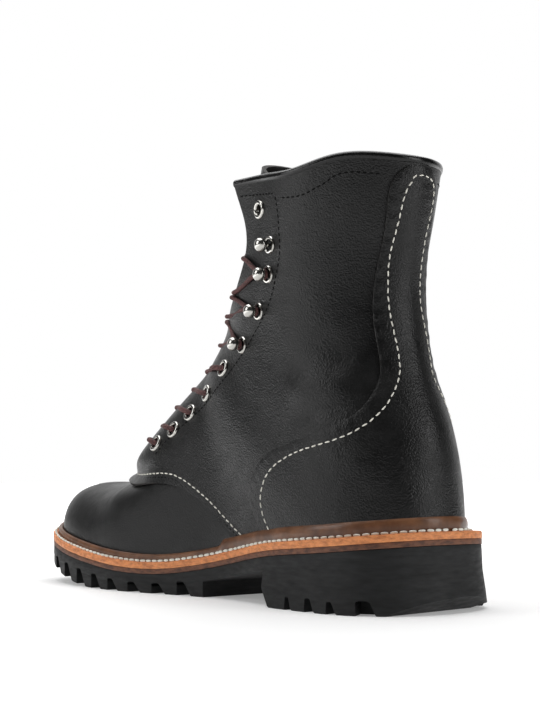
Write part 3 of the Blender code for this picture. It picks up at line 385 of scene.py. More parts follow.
def share_at_line(row, line):
    """Where a section, going down, passes a line of heights by distance forward."""
    cut = section(row)
    low = np.zeros_like(cut["front"])
    high = np.ones_like(low)
    for _ in range(BISECTIONS):
        middle = (low + high) / 2
        forward, height = side_view(cut, middle)
        above = height > line(forward)
        low = np.where(above, middle, low)
        high = np.where(above, high, middle)
    return np.where(low > 1 - 1e-6, 1.0, np.where(high < 1e-6, 0.0, (low + high) / 2))


def throat_share(row):
    row = np.asarray(row, float)
    return np.where(row > THROAT_ROW, np.maximum(section(row)["throat"], 0), 0.0)


# Mesh building

def vertex_normals(points, faces):
    a, b, c, d = (points[faces[:, i]] for i in range(4))
    normal = np.cross(c - a, d - b)
    total = np.zeros_like(points)
    for i in range(4):
        np.add.at(total, faces[:, i], normal)
    return total / (np.linalg.norm(total, axis=1)[:, None] + 1e-12)


def grid_faces(long, wide, first=0, flip=False):
    i, j = np.meshgrid(np.arange(long - 1), np.arange(wide - 1), indexing="ij")
    corner = (first + i * wide + j).reshape(-1)
    faces = np.stack([corner, corner + 1, corner + wide + 1, corner + wide], -1)
    return faces[:, ::-1] if flip else faces


def rim_edges(faces, count):
    """Directed edges of a surface that have no neighbour."""
    start = faces.reshape(-1)
    end = np.roll(faces, -1, axis=1).reshape(-1)
    real = start != end
    start, end = start[real], end[real]
    alone = ~np.isin(start * count + end, end * count + start)
    return start[alone], end[alone]


def ring_faces(rings, sides):
    """Faces between rings of places that follow one another."""
    faces = []
    for k in range(rings - 1):
        for m in range(sides):
            n = (m + 1) % sides
            faces.append((k * sides + m, k * sides + n, (k + 1) * sides + n, (k + 1) * sides + m))
    return faces


def prism_faces(count):
    """Faces of a prism whose two ends have this many corners."""
    return ring_faces(2, count) + [tuple(range(count))[::-1], tuple(range(count, 2 * count))]


def joined(pieces):
    """Several point and face lists as one."""
    points, faces = [], []
    first = 0
    for piece_points, piece_faces in pieces:
        points.append(np.asarray(piece_points))
        faces.extend(tuple(first + i for i in face) for face in piece_faces)
        first += len(piece_points)
    return np.concatenate(points), faces


def shade(mesh, sharp=SHARP_ANGLE):
    mesh.shade_smooth()
    mesh.set_sharp_from_angle(angle=np.radians(sharp))


def make_object(name, points, faces, materials, indices=None, sharp=40.0):
    """A mesh from places in millimetres."""
    mesh = bpy.data.meshes.new(name)
    lists = []
    kept = []
    for k, face in enumerate(faces):
        corners = list(dict.fromkeys(int(i) for i in face))
        if len(corners) > 2:
            lists.append(corners)
            kept.append(k)
    mesh.from_pydata((np.asarray(points) * MM).tolist(), [], lists)
    for material in materials:
        mesh.materials.append(material)
    if indices is not None:
        mesh.polygons.foreach_set("material_index", np.asarray(indices, np.int32)[kept])
    shade(mesh, sharp)
    mesh.update()
    obj = bpy.data.objects.new(name, mesh)
    bpy.context.scene.collection.objects.link(obj)
    return obj


def mended(name, points, faces, *materials, indices=None):
    """A closed mesh with its doubled end places welded and its faces turned outwards."""
    obj = make_object(name, points, faces, materials, indices)
    mesh = bmesh.new()
    mesh.from_mesh(obj.data)
    bmesh.ops.remove_doubles(mesh, verts=mesh.verts, dist=WELD * MM)
    bmesh.ops.recalc_face_normals(mesh, faces=mesh.faces)
    mesh.to_mesh(obj.data)
    mesh.free()
    return obj


def show(obj, slot, *nodes):
    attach(obj, "root")
    if nodes:
        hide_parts(*nodes)
    return obj


def soften(obj, width, segments=2, angle=35.0):
    bevel = obj.modifiers.new("soft_edges", "BEVEL")
    bevel.limit_method = "ANGLE"
    bevel.angle_limit = np.radians(angle)
    bevel.width = width * MM
    bevel.segments = segments
    bevel.harden_normals = False


def wall(name, outer, inner, faces, materials):
    """A closed wall between two surfaces with the same faces: outer face, lining and cut edge."""
    count = len(outer)
    start, end = rim_edges(faces, count)
    rim = np.stack([end, start, start + count, end + count], -1)
    indices = np.repeat((0, 1, 2), (len(faces), len(faces), len(rim)))
    faces = np.concatenate([faces, faces[:, ::-1] + count, rim])
    return make_object(name, np.concatenate([outer, inner]), faces, materials, indices)


class Skin:
    """Both sides of a leather panel as one welded surface, with the side view place of every vertex."""

    def __init__(self, grids):
        points, faces, sides = [], [], []
        first = 0
        for side, grid in grids:
            long, wide = grid.shape[:2]
            points.append(grid.reshape(-1, 3))
            faces.append(grid_faces(long, wide, first, side < 0))
            sides.append(np.full(long * wide, side))
            first += long * wide
        table = np.concatenate(points)
        keys = np.round(table / WELD).astype(np.int64)
        _, kept, back = np.unique(keys, axis=0, return_index=True, return_inverse=True)
        self.kept = kept
        self.table = table[kept]
        self.side = np.concatenate(sides)[kept]
        self.faces = back.reshape(-1)[np.concatenate(faces)]
        self.points = placed(self.table)
        self.normals = vertex_normals(self.points, self.faces)
        self.row, _ = row_through(self.table[:, 1], self.table[:, 2])
        if np.sum(self.normals * (self.points - section_middle(self.row))) < 0:
            self.normals = -self.normals
            self.faces = self.faces[:, ::-1]

    def drop_holes(self, centres, axes, radius):
        middle = self.points[self.faces].mean(1)
        keep = np.ones(len(self.faces), bool)
        for centre, axis in zip(centres, axes):
            off = middle - centre
            along = off @ axis
            aside = np.linalg.norm(off - along[:, None] * axis, axis=1)
            keep &= (aside > radius) | (np.abs(along) > HOLE_DEPTH)
        self.faces = self.faces[keep]

    def shell(self, name, inside, outside, materials):
        """A closed wall between two distances from the surface."""
        outer, inner = (self.points + self.normals * np.reshape(off, (-1, 1)) for off in (outside, inside))
        return wall(name, outer, inner, self.faces, materials)


def even_grid(rows, tops, ends, side, steps):
    """Places on the last between two lines, evenly spaced along each section."""
    eased = (1 - np.cos(np.linspace(0, np.pi, 161))) / 2
    shares = tops[:, None] + (ends - tops)[:, None] * eased
    points = form_point(rows[:, None], shares, side)
    lengths = np.linalg.norm(np.diff(points, axis=1), axis=2)
    run = np.concatenate([np.zeros((len(rows), 1)), np.cumsum(lengths, axis=1)], 1)
    picked = np.empty((len(rows), steps + 1))
    for i in range(len(rows)):
        picked[i] = np.interp(np.linspace(0, run[i, -1], steps + 1), run[i], shares[i])
    return form_point(rows[:, None], picked, side)


def trough(forward, high, path, width, depth):
    """A soft crease along a side view path, fading out towards its ends."""
    path = resample(path, 40)
    place = np.stack([forward, high], -1)
    best = np.full(len(place), np.inf)
    where = np.zeros(len(place))
    for k, point in enumerate(path):
        gap = np.linalg.norm(place - point, axis=1)
        nearer = gap < best
        best = np.where(nearer, gap, best)
        where = np.where(nearer, k / (len(path) - 1), where)
    fade = smooth(4 * where) * smooth(4 * (1 - where))
    return depth * np.exp(-((best / width) ** 2)) * (0.15 + 0.85 * fade)


# Materials

CELL_SMOOTHNESS = 0.6


class Surface:
    """A principled material whose colour, roughness and bump come from layered noise."""

    def __init__(self, name, colour, roughness, metallic=0.0):
        self.material = bpy.data.materials.new(name)
        self.material.use_nodes = True
        self.tree = self.material.node_tree
        self.shader = self.tree.nodes["Principled BSDF"]
        self.set("Base Color", (*colour, 1.0))
        self.set("Roughness", roughness)
        self.set("Metallic", metallic)
        self.space = None
        self.bump_out = None

    def set(self, socket, value):
        self.shader.inputs[socket].default_value = value

    def node(self, kind, **values):
        made = self.tree.nodes.new(kind)
        for word, value in values.items():
            made.inputs[word.replace("_", " ")].default_value = value
        return made

    def wire(self, source, target):
        self.tree.links.new(source, target)

    def place(self, stretch):
        if self.space is None:
            self.space = self.node("ShaderNodeTexCoord")
        mapping = self.node("ShaderNodeMapping", Scale=stretch)
        self.wire(self.space.outputs["Object"], mapping.inputs["Vector"])
        return mapping.outputs["Vector"]

    def noise(self, scale, detail=3.0, stretch=(1.0, 1.0, 1.0), rough=0.5):
        noise = self.node("ShaderNodeTexNoise", Scale=scale, Detail=detail, Roughness=rough)
        self.wire(self.place(stretch), noise.inputs["Vector"])
        return noise.outputs["Fac"]

    def cells(self, scale, stretch=(1.0, 1.0, 1.0)):
        cells = self.node("ShaderNodeTexVoronoi", Scale=scale)
        cells.feature = "SMOOTH_F1"
        cells.inputs["Smoothness"].default_value = CELL_SMOOTHNESS
        self.wire(self.place(stretch), cells.inputs["Vector"])
        return cells.outputs["Distance"]

    def mapped(self, factor, low, high, from_low=0.3, from_high=0.7):
        ends = {"From_Min": from_low, "From_Max": from_high, "To_Min": low, "To_Max": high}
        span = self.node("ShaderNodeMapRange", **ends)
        self.wire(factor, span.inputs["Value"])
        return span.outputs["Result"]

    def mixed_colour(self, factor, first, second, low=0.35, high=0.65):
        ramp = self.node("ShaderNodeValToRGB")
        for element, place, colour in zip(ramp.color_ramp.elements, (low, high), (first, second)):
            element.position = place
            element.color = (*colour, 1.0)
        self.wire(factor, ramp.inputs["Fac"])
        self.wire(ramp.outputs["Color"], self.shader.inputs["Base Color"])

    def rough(self, factor, low, high):
        self.wire(self.mapped(factor, low, high), self.shader.inputs["Roughness"])

    def bump(self, height, strength, distance):
        bump = self.node("ShaderNodeBump", Strength=strength, Distance=distance * MM)
        self.wire(height, bump.inputs["Height"])
        if self.bump_out is not None:
            self.wire(self.bump_out, bump.inputs["Normal"])
        self.bump_out = bump.outputs["Normal"]
        self.wire(self.bump_out, self.shader.inputs["Normal"])


def leather(name, grain, wrinkle, low, high):
    made = Surface(name, (0.004, 0.004, 0.004), 0.4)
    made.mixed_colour(made.noise(35.0, 4.0), (0.003, 0.003, 0.0031), (0.006, 0.006, 0.006))
    made.rough(made.noise(120.0, 5.0), low, high)
    made.set("Specular IOR Level", 0.36)
    made.bump(made.noise(45.0, 3.0), 0.5, 1.1 * wrinkle)
    made.bump(made.noise(760.0, 4.0, rough=0.55), 0.8, 0.17 * grain)
    made.bump(made.cells(1250.0), 0.9, 0.22 * grain)
    return made


def make_materials():
    edge = Surface("leather_cut_edge", (0.020, 0.018, 0.017), 0.8)
    edge.bump(edge.noise(900.0, 4.0), 0.6, 0.2)
    lining = Surface("leather_lining", (0.10, 0.055, 0.03), 0.75)
    lining.mixed_colour(lining.noise(60.0, 4.0), (0.07, 0.036, 0.02), (0.13, 0.072, 0.04))
    lining.bump(lining.noise(900.0, 3.0), 0.4, 0.15)
    rubber = Surface("rubber", (0.012, 0.0125, 0.013), 0.6)
    rubber.set("Specular IOR Level", 0.3)
    cloudy = rubber.noise(90.0, 5.0, (1.0, 1.0, 5.0))
    rubber.mixed_colour(cloudy, (0.0085, 0.0088, 0.009), (0.016, 0.0165, 0.017))
    rubber.rough(rubber.noise(150.0, 4.0, (1.0, 1.0, 4.0)), 0.5, 0.72)
    rubber.bump(rubber.noise(260.0, 4.0, (0.25, 0.25, 3.0)), 0.35, 0.25)
    rubber.bump(rubber.noise(1500.0, 3.0), 0.35, 0.08)
    tan = Surface("tan_edge", (0.5, 0.2, 0.07), 0.55)
    fibres = tan.noise(420.0, 6.0, (0.6, 0.6, 1.6), 0.65)
    tan.mixed_colour(fibres, (0.47, 0.152, 0.050), (0.80, 0.305, 0.105), 0.34, 0.60)
    tan.rough(tan.noise(300.0, 4.0), 0.45, 0.7)
    tan.bump(tan.noise(900.0, 5.0, (0.7, 0.7, 1.5)), 0.7, 0.35)
    dark = Surface("dark_edge", (0.13, 0.06, 0.035), 0.6)
    fibres = dark.noise(420.0, 6.0, (0.6, 0.6, 1.6))
    dark.mixed_colour(fibres, (0.074, 0.026, 0.013), (0.178, 0.068, 0.032), 0.36, 0.60)
    dark.bump(dark.noise(900.0, 5.0, (0.7, 0.7, 1.5)), 0.7, 0.3)
    welt = Surface("welt_leather", (0.10, 0.05, 0.03), 0.4)
    welt.mixed_colour(welt.noise(110.0, 4.0), (0.102, 0.042, 0.019), (0.198, 0.087, 0.040), 0.35, 0.62)
    welt.rough(welt.noise(260.0, 4.0), 0.28, 0.42)
    welt.bump(welt.noise(420.0, 4.0), 0.5, 0.25)
    white = Surface("thread_white", (0.80, 0.78, 0.70), 0.75)
    white.bump(white.noise(2600.0, 2.0), 0.5, 0.1)
    black = Surface("thread_black", (0.002, 0.002, 0.002), 0.8)
    black.set("Specular IOR Level", 0.1)
    nickel = Surface("nickel", (0.50, 0.49, 0.46), 0.2, 1.0)
    nickel.rough(nickel.noise(300.0, 3.0), 0.14, 0.26)
    cord = Surface("cord", (0.04, 0.014, 0.014), 0.8)
    cord.mixed_colour(cord.cells(1500.0), (0.012, 0.008, 0.008), (0.105, 0.038, 0.036), 0.15, 0.60)
    cord.bump(cord.cells(1300.0), 0.9, 0.35)
    surfaces = {
        "smooth": leather("leather_smooth", 0.4, 0.6, 0.36, 0.50),
        "grain": leather("leather_grain", 1.0, 1.0, 0.30, 0.44),
        "counter": leather("leather_counter", 1.0, 1.2, 0.30, 0.44),
        "gloss": leather("leather_rolled", 0.25, 0.5, 0.18, 0.28),
        "edge": edge, "lining": lining, "rubber": rubber, "tan": tan, "dark": dark, "welt": welt,
        "white": white, "black": black, "nickel": nickel, "cord": cord,
    }
    return {word: surface.material for word, surface in surfaces.items()}


# Upper

QUARTER_FIRST_ROW = 5.82
VAMP_LAST_ROW = 10.9
ROWS_A_UNIT = 14
QUARTER_STEPS = 84
VAMP_STEPS = 64
VAMP_ROWS = 170
VAMP_TUCK = 0.35
VAMP_TUCK_BEHIND = 240.0
TOE_LIFT = 1.1
TOE_LIFT_FROM = 185.0
TOE_LIFT_LONG = 40.0
TOE_LIFT_WIDE = 7.0
EDGE_LIFT = 0.55
EDGE_LIFT_WIDE = 2.5
EDGE_SOFT = 0.35
CREASES = (
    (((72.8, 98.6), (60.4, 102.2), (50.5, 104.1), (41.5, 103.3), (32.0, 98.4)), 7.5, 1.1),
    (((74.0, 112.0), (58.9, 116.7), (49.3, 118.6), (40.9, 117.7), (33.0, 113.3)), 10.0, -1.0),
    (((68.0, 87.5), (52.3, 91.7), (41.2, 92.0), (32.0, 89.5)), 5.0, -0.7),
)
PUCKER = 0.22
PUCKER_PLACE = 3.0
PUCKER_WIDE = 2.6
COUNTER_EDGE_DROP = 0.45
COUNTER_EDGE_WIDE = 0.8
COUNTER_LOW_STEPS = 90
ROLL_RADIUS = 2.2
ROLL_RISE = 0.9
TONGUE_SOFT = 0.5


def hardware_frames(places, side):
    forward, high = np.array(places).T
    row, share = row_through(forward, high)
    return frames_at(row, share, side)


def leather_wall(skin, name, inside, outside, outer_material, materials):
    return skin.shell(name, inside, outside, [materials[word] for word in (outer_material, "lining", "edge")])


def make_vamp(materials):
    rows = np.linspace(0, VAMP_LAST_ROW, VAMP_ROWS)
    tops = np.where(rows > THROAT_ROW, throat_share(rows) + SHARE_ENDS[0], 0.0)
    ends = share_at_line(rows, raised(feather_line, -1.5))
    skin = Skin([(side, even_grid(rows, tops, ends, side, VAMP_STEPS)) for side in (1, -1)])
    forward, high = skin.table[:, 1], skin.table[:, 2]
    under = smooth((high - quarter_line(forward) + 0.5) / 2.5) * (forward < VAMP_TUCK_BEHIND)
    show(leather_wall(skin, "vamp", -WALL, -VAMP_TUCK * under, "smooth", materials), "leather", "upper")


def make_quarters(materials):
    count = int((COLLAR_ROW - QUARTER_FIRST_ROW) * ROWS_A_UNIT)
    rows = np.sort(np.r_[np.linspace(QUARTER_FIRST_ROW, COLLAR_ROW, count), THROAT_ROW, THROAT_ROW + 0.001])
    tops = throat_share(rows)
    ends = np.minimum(share_at_line(rows, quarter_line), share_at_line(rows, feather_line))
    behind = rows > VAMP_LAST_ROW
    ends[behind] = share_at_line(rows[behind], feather_line)
    ends = np.maximum(ends, tops + 0.002)
    skin = Skin([(side, even_grid(rows, tops, ends, side, QUARTER_STEPS)) for side in (1, -1)])
    centres, axes = [], []
    for side in (1, -1):
        point, normal, _ = hardware_frames(EYELETS, side)
        centres.extend(point)
        axes.extend(normal)
    skin.drop_holes(centres, axes, HOLE_RADIUS)
    forward, high = skin.table[:, 1], skin.table[:, 2]
    near_edge = np.clip(high - quarter_line(forward), 0, None)
    lift = TOE_LIFT * smooth((forward - TOE_LIFT_FROM) / TOE_LIFT_LONG) * np.exp(-near_edge / TOE_LIFT_WIDE)
    lift += EDGE_LIFT * np.exp(-near_edge / EDGE_LIFT_WIDE)
    lift *= skin.row < VAMP_LAST_ROW
    relief = sum(trough(forward, high, *crease) for crease in CREASES)
    behind = smooth((skin.row - VAMP_LAST_ROW + 0.2) / 0.5)
    inside = 0.05 * (1 - behind) - WALL * behind + lift
    obj = leather_wall(skin, "quarters", inside, QUARTER_STEP + lift + relief, "grain", materials)
    soften(obj, EDGE_SOFT)
    show(obj, "leather", "upper")


def counter_grid(side):
    """Places on the heel counter and the back strip, from their edge to the sole and to the back seam."""
    edge = resample(COUNTER_EDGE, 220)
    low_forward = np.linspace(COUNTER_EDGE[0][0], 5.2, 80)
    low = np.stack([low_forward, feather_line(low_forward) + 0.6], -1)
    rows = np.linspace(0, COLLAR_ROW + 0.05, 4001)
    cut = section(rows)
    kept = (rows > 12) & (cut["back_high"] > low[-1, 1] + 0.5)
    back = np.stack([cut["back"][kept], cut["back_high"][kept]], -1)[::8]
    back = back[back[:, 1] < COUNTER_EDGE[-1][1] + 0.4]
    end = np.concatenate([resample(low, COUNTER_LOW_STEPS), resample(back, len(edge) - COUNTER_LOW_STEPS)])
    eased = 1 - (1 - np.linspace(0, 1, 56)) ** 2
    side_place = edge[:, None, :] * (1 - eased)[None, :, None] + end[:, None, :] * eased[None, :, None]
    row, along = row_through(side_place[..., 0], side_place[..., 1])
    along[COUNTER_LOW_STEPS:, -1] = 1.0
    return form_flat(row, along, side), np.linalg.norm(side_place - edge[:, None, :], axis=-1)


def make_counter(materials):
    grids, gaps = zip(*(counter_grid(side) for side in (1, -1)))
    skin = Skin(list(zip((1, -1), grids)))
    gap = np.concatenate([gap.reshape(-1) for gap in gaps])[skin.kept]
    forward, high = skin.table[:, 1], skin.table[:, 2]
    wave = np.sin(forward * 0.95 + 0.6 * np.sin(high * 0.31))
    wave *= np.sin(high * 0.83 + 0.5 * np.sin(forward * 0.4))
    pucker = PUCKER * wave * np.exp(-(((gap - PUCKER_PLACE) / PUCKER_WIDE) ** 2))
    round_edge = -COUNTER_EDGE_DROP * np.exp(-gap / COUNTER_EDGE_WIDE)
    outside = COUNTER_OUT + pucker + round_edge
    obj = leather_wall(skin, "counter_panel", COUNTER_IN, outside, "counter", materials)
    soften(obj, EDGE_SOFT)
    show(obj, "leather", "counter")


def tube(path, radius, sides):
    """Places and faces of a round cord along a path in the frame's axes."""
    path = np.asarray(path, float)
    tangent = unit(np.gradient(path, axis=0))
    normal = np.zeros_like(path)
    guess = np.cross(tangent[0], (0.0, 0.0, 1.0))
    if np.linalg.norm(guess) < 0.1:
        guess = np.cross(tangent[0], (1.0, 0.0, 0.0))
    normal[0] = unit(guess)
    for k in range(1, len(path)):
        normal[k] = square_to(normal[k - 1], tangent[k])
    other = np.cross(tangent, normal)
    angle = np.linspace(0, 2 * np.pi, sides, endpoint=False)
    radius = np.broadcast_to(radius, len(path))
    ring = normal[:, None] * np.cos(angle)[None, :, None] + other[:, None] * np.sin(angle)[None, :, None]
    points = (path[:, None] + ring * radius[:, None, None]).reshape(-1, 3)
    first, last = range(sides)[::-1], range(len(points) - sides, len(points))
    return points, ring_faces(len(path), sides) + [tuple(first), tuple(last)]


def make_binding(materials):
    shares = np.linspace(float(throat_share(COLLAR_ROW)), 1.0, 120)
    inner, outer = (form_point(np.full_like(shares, COLLAR_ROW), shares, side) for side in (1, -1))
    path = resample(np.concatenate([inner, outer[-2::-1]])[::4], 260)
    path[:, 2] += ROLL_RISE
    obj = make_object("collar_roll", *tube(placed(path), ROLL_RADIUS, 16), [materials["gloss"]])
    show(obj, "leather", "collar_binding")


def tongue_point(row, turn, out):
    front, front_high, edge, edge_high, half, swing = np.moveaxis(TONGUE_CURVE(row), -1, 0)
    deep = 1 - np.cos(turn)
    forward = front + (edge - front) * deep
    high = front_high + (edge_high - front_high) * deep
    reach = np.hypot(edge - front, edge_high - front_high)
    lift = np.cos(turn) * out
    across = swing + (half + out) * np.sin(turn)
    return np.stack(
        [across, forward + (front - edge) / reach * lift, high + (front_high - edge_high) / reach * lift], -1
    )


def make_tongue(materials):
    rows = np.linspace(0, len(TONGUE_ROWS) - 1, 140)
    turns = np.linspace(-np.pi / 2, np.pi / 2, 61)
    row, turn = np.meshgrid(rows, turns, indexing="ij")
    outer, inner = (placed(tongue_point(row, turn, out)).reshape(-1, 3) for out in (0.0, -TONGUE_THICK))
    faces = grid_faces(len(rows), len(turns))
    front = len(turns) * 30 + 30
    if vertex_normals(outer, faces)[front, 2] < 0:
        faces = faces[:, ::-1]
    words = ("grain", "smooth", "edge")
    obj = wall("tongue_leather", outer, inner, faces, [materials[word] for word in words])
    soften(obj, TONGUE_SOFT)
    show(obj, "leather", "tongue")


# Stitches

WHITE_PITCH = 3.9
WHITE_SIZE = (2.7, 0.75, 0.75)
BLACK_PITCH = 2.9
BLACK_SIZE = (1.9, 0.75, 0.5)
STITCH_TURN = 0.10
ROW_PLACES = 240


def bean(long, wide, high, sides=8, rings=6):
    """A small rounded stitch along X."""
    points = []
    for angle in np.pi * np.arange(rings + 1) / rings:
        size = np.sin(angle) ** 0.6
        for turn in 2 * np.pi * np.arange(sides) / sides:
            around = size / 2 * np.array([np.cos(turn) * wide, np.sin(turn) * high])
            points.append((-np.cos(angle) * long / 2, *around))
    return np.array(points), ring_faces(rings + 1, sides)


def stitches_along(path, normals, pitch, long, wide, high):
    """Stitches laid end to end along a path in the frame's axes."""
    run = run_of(path)
    count = max(int(run[-1] / pitch), 1)
    pattern, pattern_faces = bean(long, wide, high)
    pieces = []
    for k in range(count):
        where = (k + 0.5) * run[-1] / count
        along = unit(at_run(where + long / 2, run, path) - at_run(where - long / 2, run, path))
        up = square_to(at_run(where, run, normals), along)
        turn = STITCH_TURN * np.sin(k * 2.4)
        along = along * np.cos(turn) + np.cross(up, along) * np.sin(turn)
        axes = np.stack([along, np.cross(up, along), up])
        pieces.append((at_run(where, run, path) + pattern @ axes, pattern_faces))
    return pieces


def row_on_form(path, side, out):
    """A side view path laid on the leather, with normals."""
    point, normal, _ = hardware_frames(resample(path, ROW_PLACES), side)
    return point + normal * out, normal


QUARTER_WHITE = (
    (107.7, 31.8), (114.2, 35.4), (124.1, 41.5), (134.0, 47.7), (143.1, 52.7), (152.6, 57.4), (162.1, 60.9),
    (171.8, 62.1), (186.0, 61.7), (200.0, 61.5), (213.0, 62.2),
)
COUNTER_WHITE = (
    (79.7, 35.4), (83.6, 41.8), (85.4, 49.4), (83.0, 57.1), (78.4, 63.0), (71.2, 67.7), (61.7, 71.5),
    (52.4, 74.0), (41.2, 76.6), (32.8, 79.7), (24.6, 87.1), (22.5, 92.8), (22.2, 98.0), (23.2, 106.6),
)
STRIP_WHITE_INNER = (
    (24.8, 113.6), (26.9, 122.5), (28.9, 132.5), (30.0, 142.5), (29.8, 152.8), (28.4, 163.9), (25.5, 175.6),
    (22.8, 186.2), (20.8, 194.2), (19.4, 198.6), (18.9, 200.4),
)
STRIP_WHITE_OUTER = (
    (25.6, 113.6), (28.1, 122.5), (28.9, 135.2), (28.1, 152.5), (26.3, 167.0), (23.9, 181.3), (22.2, 192.7),
    (20.4, 198.6), (19.0, 200.8),
)
STRIP_WHITE_TOP = 201.4
EYESTAY_TOP = ((103.0, 199.4), (89.4, 198.2), (73.4, 196.1))
EYESTAY_BLACK = (
    (72.4, 195.0), (71.1, 185.5), (71.3, 176.0), (72.4, 166.2), (75.3, 158.3), (79.7, 149.0), (86.7, 139.8),
    (95.4, 132.2), (105.2, 124.3), (116.4, 116.3), (126.5, 109.0), (138.8, 101.6), (154.0, 93.4),
    (167.9, 84.9), (177.1, 78.0), (183.6, 72.0),
)
COLLAR_BLACK = (
    (67.8, 193.1), (61.2, 192.7), (54.7, 193.3), (49.8, 195.2), (45.1, 197.4), (40.3, 200.5), (35.4, 201.8),
    (29.8, 201.4), (25.3, 200.8),
)
DARK_ROWS = ((QUARTER_WHITE, -2.2), (EYESTAY_BLACK, 0.0), (EYESTAY_TOP, 0.0), (COLLAR_BLACK, 0.0))


def shifted(path, distance):
    """A side view path moved to its left."""
    place = resample(path, 80)
    tangent = unit(np.gradient(place, axis=0))
    return place + distance * np.stack([-tangent[:, 1], tangent[:, 0]], -1)


def seam_arch(end, side):
    """From the end of a white row, over the back strip, to the back seam."""
    row, share = row_through(np.array([0.0, end[0]]), np.array([STRIP_WHITE_TOP, end[1]]))
    ease = np.sin(np.linspace(0, np.pi / 2, 10)[1:])
    rows = row[1] + (row[0] - row[1]) * ease
    shares = 1 - (1 - share[1]) * (1 - np.linspace(0, 1, 10)[1:]) ** 2
    point = placed(form_flat(rows, shares, side))
    _, normal, _ = frames_at(rows, shares, side)
    normal[:, 0] *= np.linspace(1, 0, 9)
    normal = unit(normal)
    return point + normal * COUNTER_OUT, normal


def counter_row(side):
    """White row round the heel counter, up the back strip and over it to the back seam, on one side."""
    strip = STRIP_WHITE_INNER if side > 0 else STRIP_WHITE_OUTER
    row = row_on_form(COUNTER_WHITE + strip, side, COUNTER_OUT)
    return [np.concatenate(pair) for pair in zip(row, seam_arch(strip[-1], side))]


def make_stitches(materials):
    path, normals = (np.concatenate([up, down[-2::-1]]) for up, down in zip(counter_row(1), counter_row(-1)))
    rows = {"white": stitches_along(path, normals, WHITE_PITCH, *WHITE_SIZE), "black": []}
    for side in (1, -1):
        white_row = row_on_form(QUARTER_WHITE, side, QUARTER_STEP + 0.2)
        rows["white"] += stitches_along(*white_row, WHITE_PITCH, *WHITE_SIZE)
        for path, distance in DARK_ROWS:
            black_row = row_on_form(shifted(path, distance), side, QUARTER_STEP)
            rows["black"] += stitches_along(*black_row, BLACK_PITCH, *BLACK_SIZE)
    for word, stitches in rows.items():
        show(make_object(f"stitches_{word}", *joined(stitches), [materials[word]]), "cord")


# Eyelets, hooks and lace

def lathe(profile, point, normal, along, sides=28):
    """A turned shape: profile of (radius, height) standing on the leather."""
    front = square_to(along, normal)
    other = np.cross(normal, front)
    points = []
    for radius, high in profile:
        for turn in np.linspace(0, 2 * np.pi, sides, endpoint=False):
            points.append(point + normal * high + radius * (front * np.cos(turn) + other * np.sin(turn)))
    return np.array(points), ring_faces(len(profile), sides)


def eyelet_profile():
    low = QUARTER_STEP
    inner, outer = EYELET_RADIUS - EYELET_WIRE, EYELET_RADIUS + EYELET_WIRE
    profile = [(outer - 0.3, low - 0.6), (outer, low + 0.25)]
    for angle in np.linspace(0.15, 0.85, 6) * np.pi:
        profile.append((EYELET_RADIUS + EYELET_WIRE * np.cos(angle), low + 0.3 + 1.1 * np.sin(angle)))
    profile += [(inner, low + 0.3), (inner, low - 0.5), (inner + 0.5, low - 0.6)]
    profile.append(profile[0])
    return profile


def hook_pieces(point, normal, along):
    """A round base, a stem that leans to the throat and a ball."""
    front = square_to(-along, normal)

    def leaning(ahead, high):
        return point + ahead * front + (QUARTER_STEP + high) * normal

    base = [(radius, QUARTER_STEP + high) for radius, high in HOOK_BASE]
    stem = resample([leaning(*place) for place in HOOK_STEM], 10)
    wide, high = HOOK_BALL
    ball = [(wide * np.sin(turn) + 0.001, -high * np.cos(turn)) for turn in np.linspace(0.0, np.pi, 19)]
    return [
        lathe(base, point, normal, front), tube(stem, HOOK_STEM_RADIUS, 14),
        lathe(ball, leaning(*HOOK_BALL_PLACE), normal, front),
    ]


def make_hardware(materials):
    for side, word in ((1, "inner"), (-1, "outer")):
        rings = [lathe(eyelet_profile(), *place) for place in zip(*hardware_frames(EYELETS, side))]
        obj = make_object(f"eyelets_{word}", *joined(rings), [materials["nickel"]], sharp=60.0)
        show(obj, "nickel", *(f"eyelet_{word}_{k}" for k in range(1, len(EYELETS) + 1)))
        hooks = []
        for place in zip(*hardware_frames(HOOKS, side)):
            hooks += hook_pieces(*place)
        obj = mended(f"hooks_{word}", *joined(hooks), materials["nickel"])
        show(obj, "nickel", *(f"hook_{word}_{k}" for k in range(1, len(HOOKS) + 1)))


def over_tongue(place, out):
    """A place in the frame's axes, moved out from the tongue to this clearance."""
    rows = np.linspace(0, len(TONGUE_ROWS) - 1, 600)
    row = float(np.interp(place[2], TONGUE_CURVE(rows)[:, 1], rows))
    front, front_high, edge, edge_high, half, swing = TONGUE_CURVE(row)
    turn = np.arcsin(np.clip((place[0] - CENTRE - swing) / (half + out), -1, 1))
    away = unit(np.array([0.0, -(front - edge), front_high - edge_high]))
    target = placed(tongue_point(np.array(row), np.array(turn), out))
    return place + away * max((target - place) @ away, 0.0)


def edge_place(row, side, out):
    """A place over the facing's edge, in the frame's axes."""
    row = np.array([row])
    point, normal, _ = frames_at(row, throat_share(row) + SHARE_ENDS[0], side)
    return point[0] + normal[0] * out


def crossing(start, end):
    """Places over the tongue between two facing edges."""
    clear = LACE_RADIUS + LACE_CLEAR
    return [over_tongue(start * (1 - share) + end * share, clear) for share in LACE_SHARES]


def hook_turn(point, normal, along):
    """The cord's way round a hook's stem, from below to above."""
    front = square_to(-along, normal)
    upwards = np.cross(normal, front)
    upwards *= np.sign(upwards[2])
    middle = point + normal * (QUARTER_STEP + HOOK_TURN_OVER)
    turns = np.radians(HOOK_TURN_ANGLES)
    return [middle + HOOK_TURN * (front * np.cos(turn) + upwards * np.sin(turn)) for turn in turns]


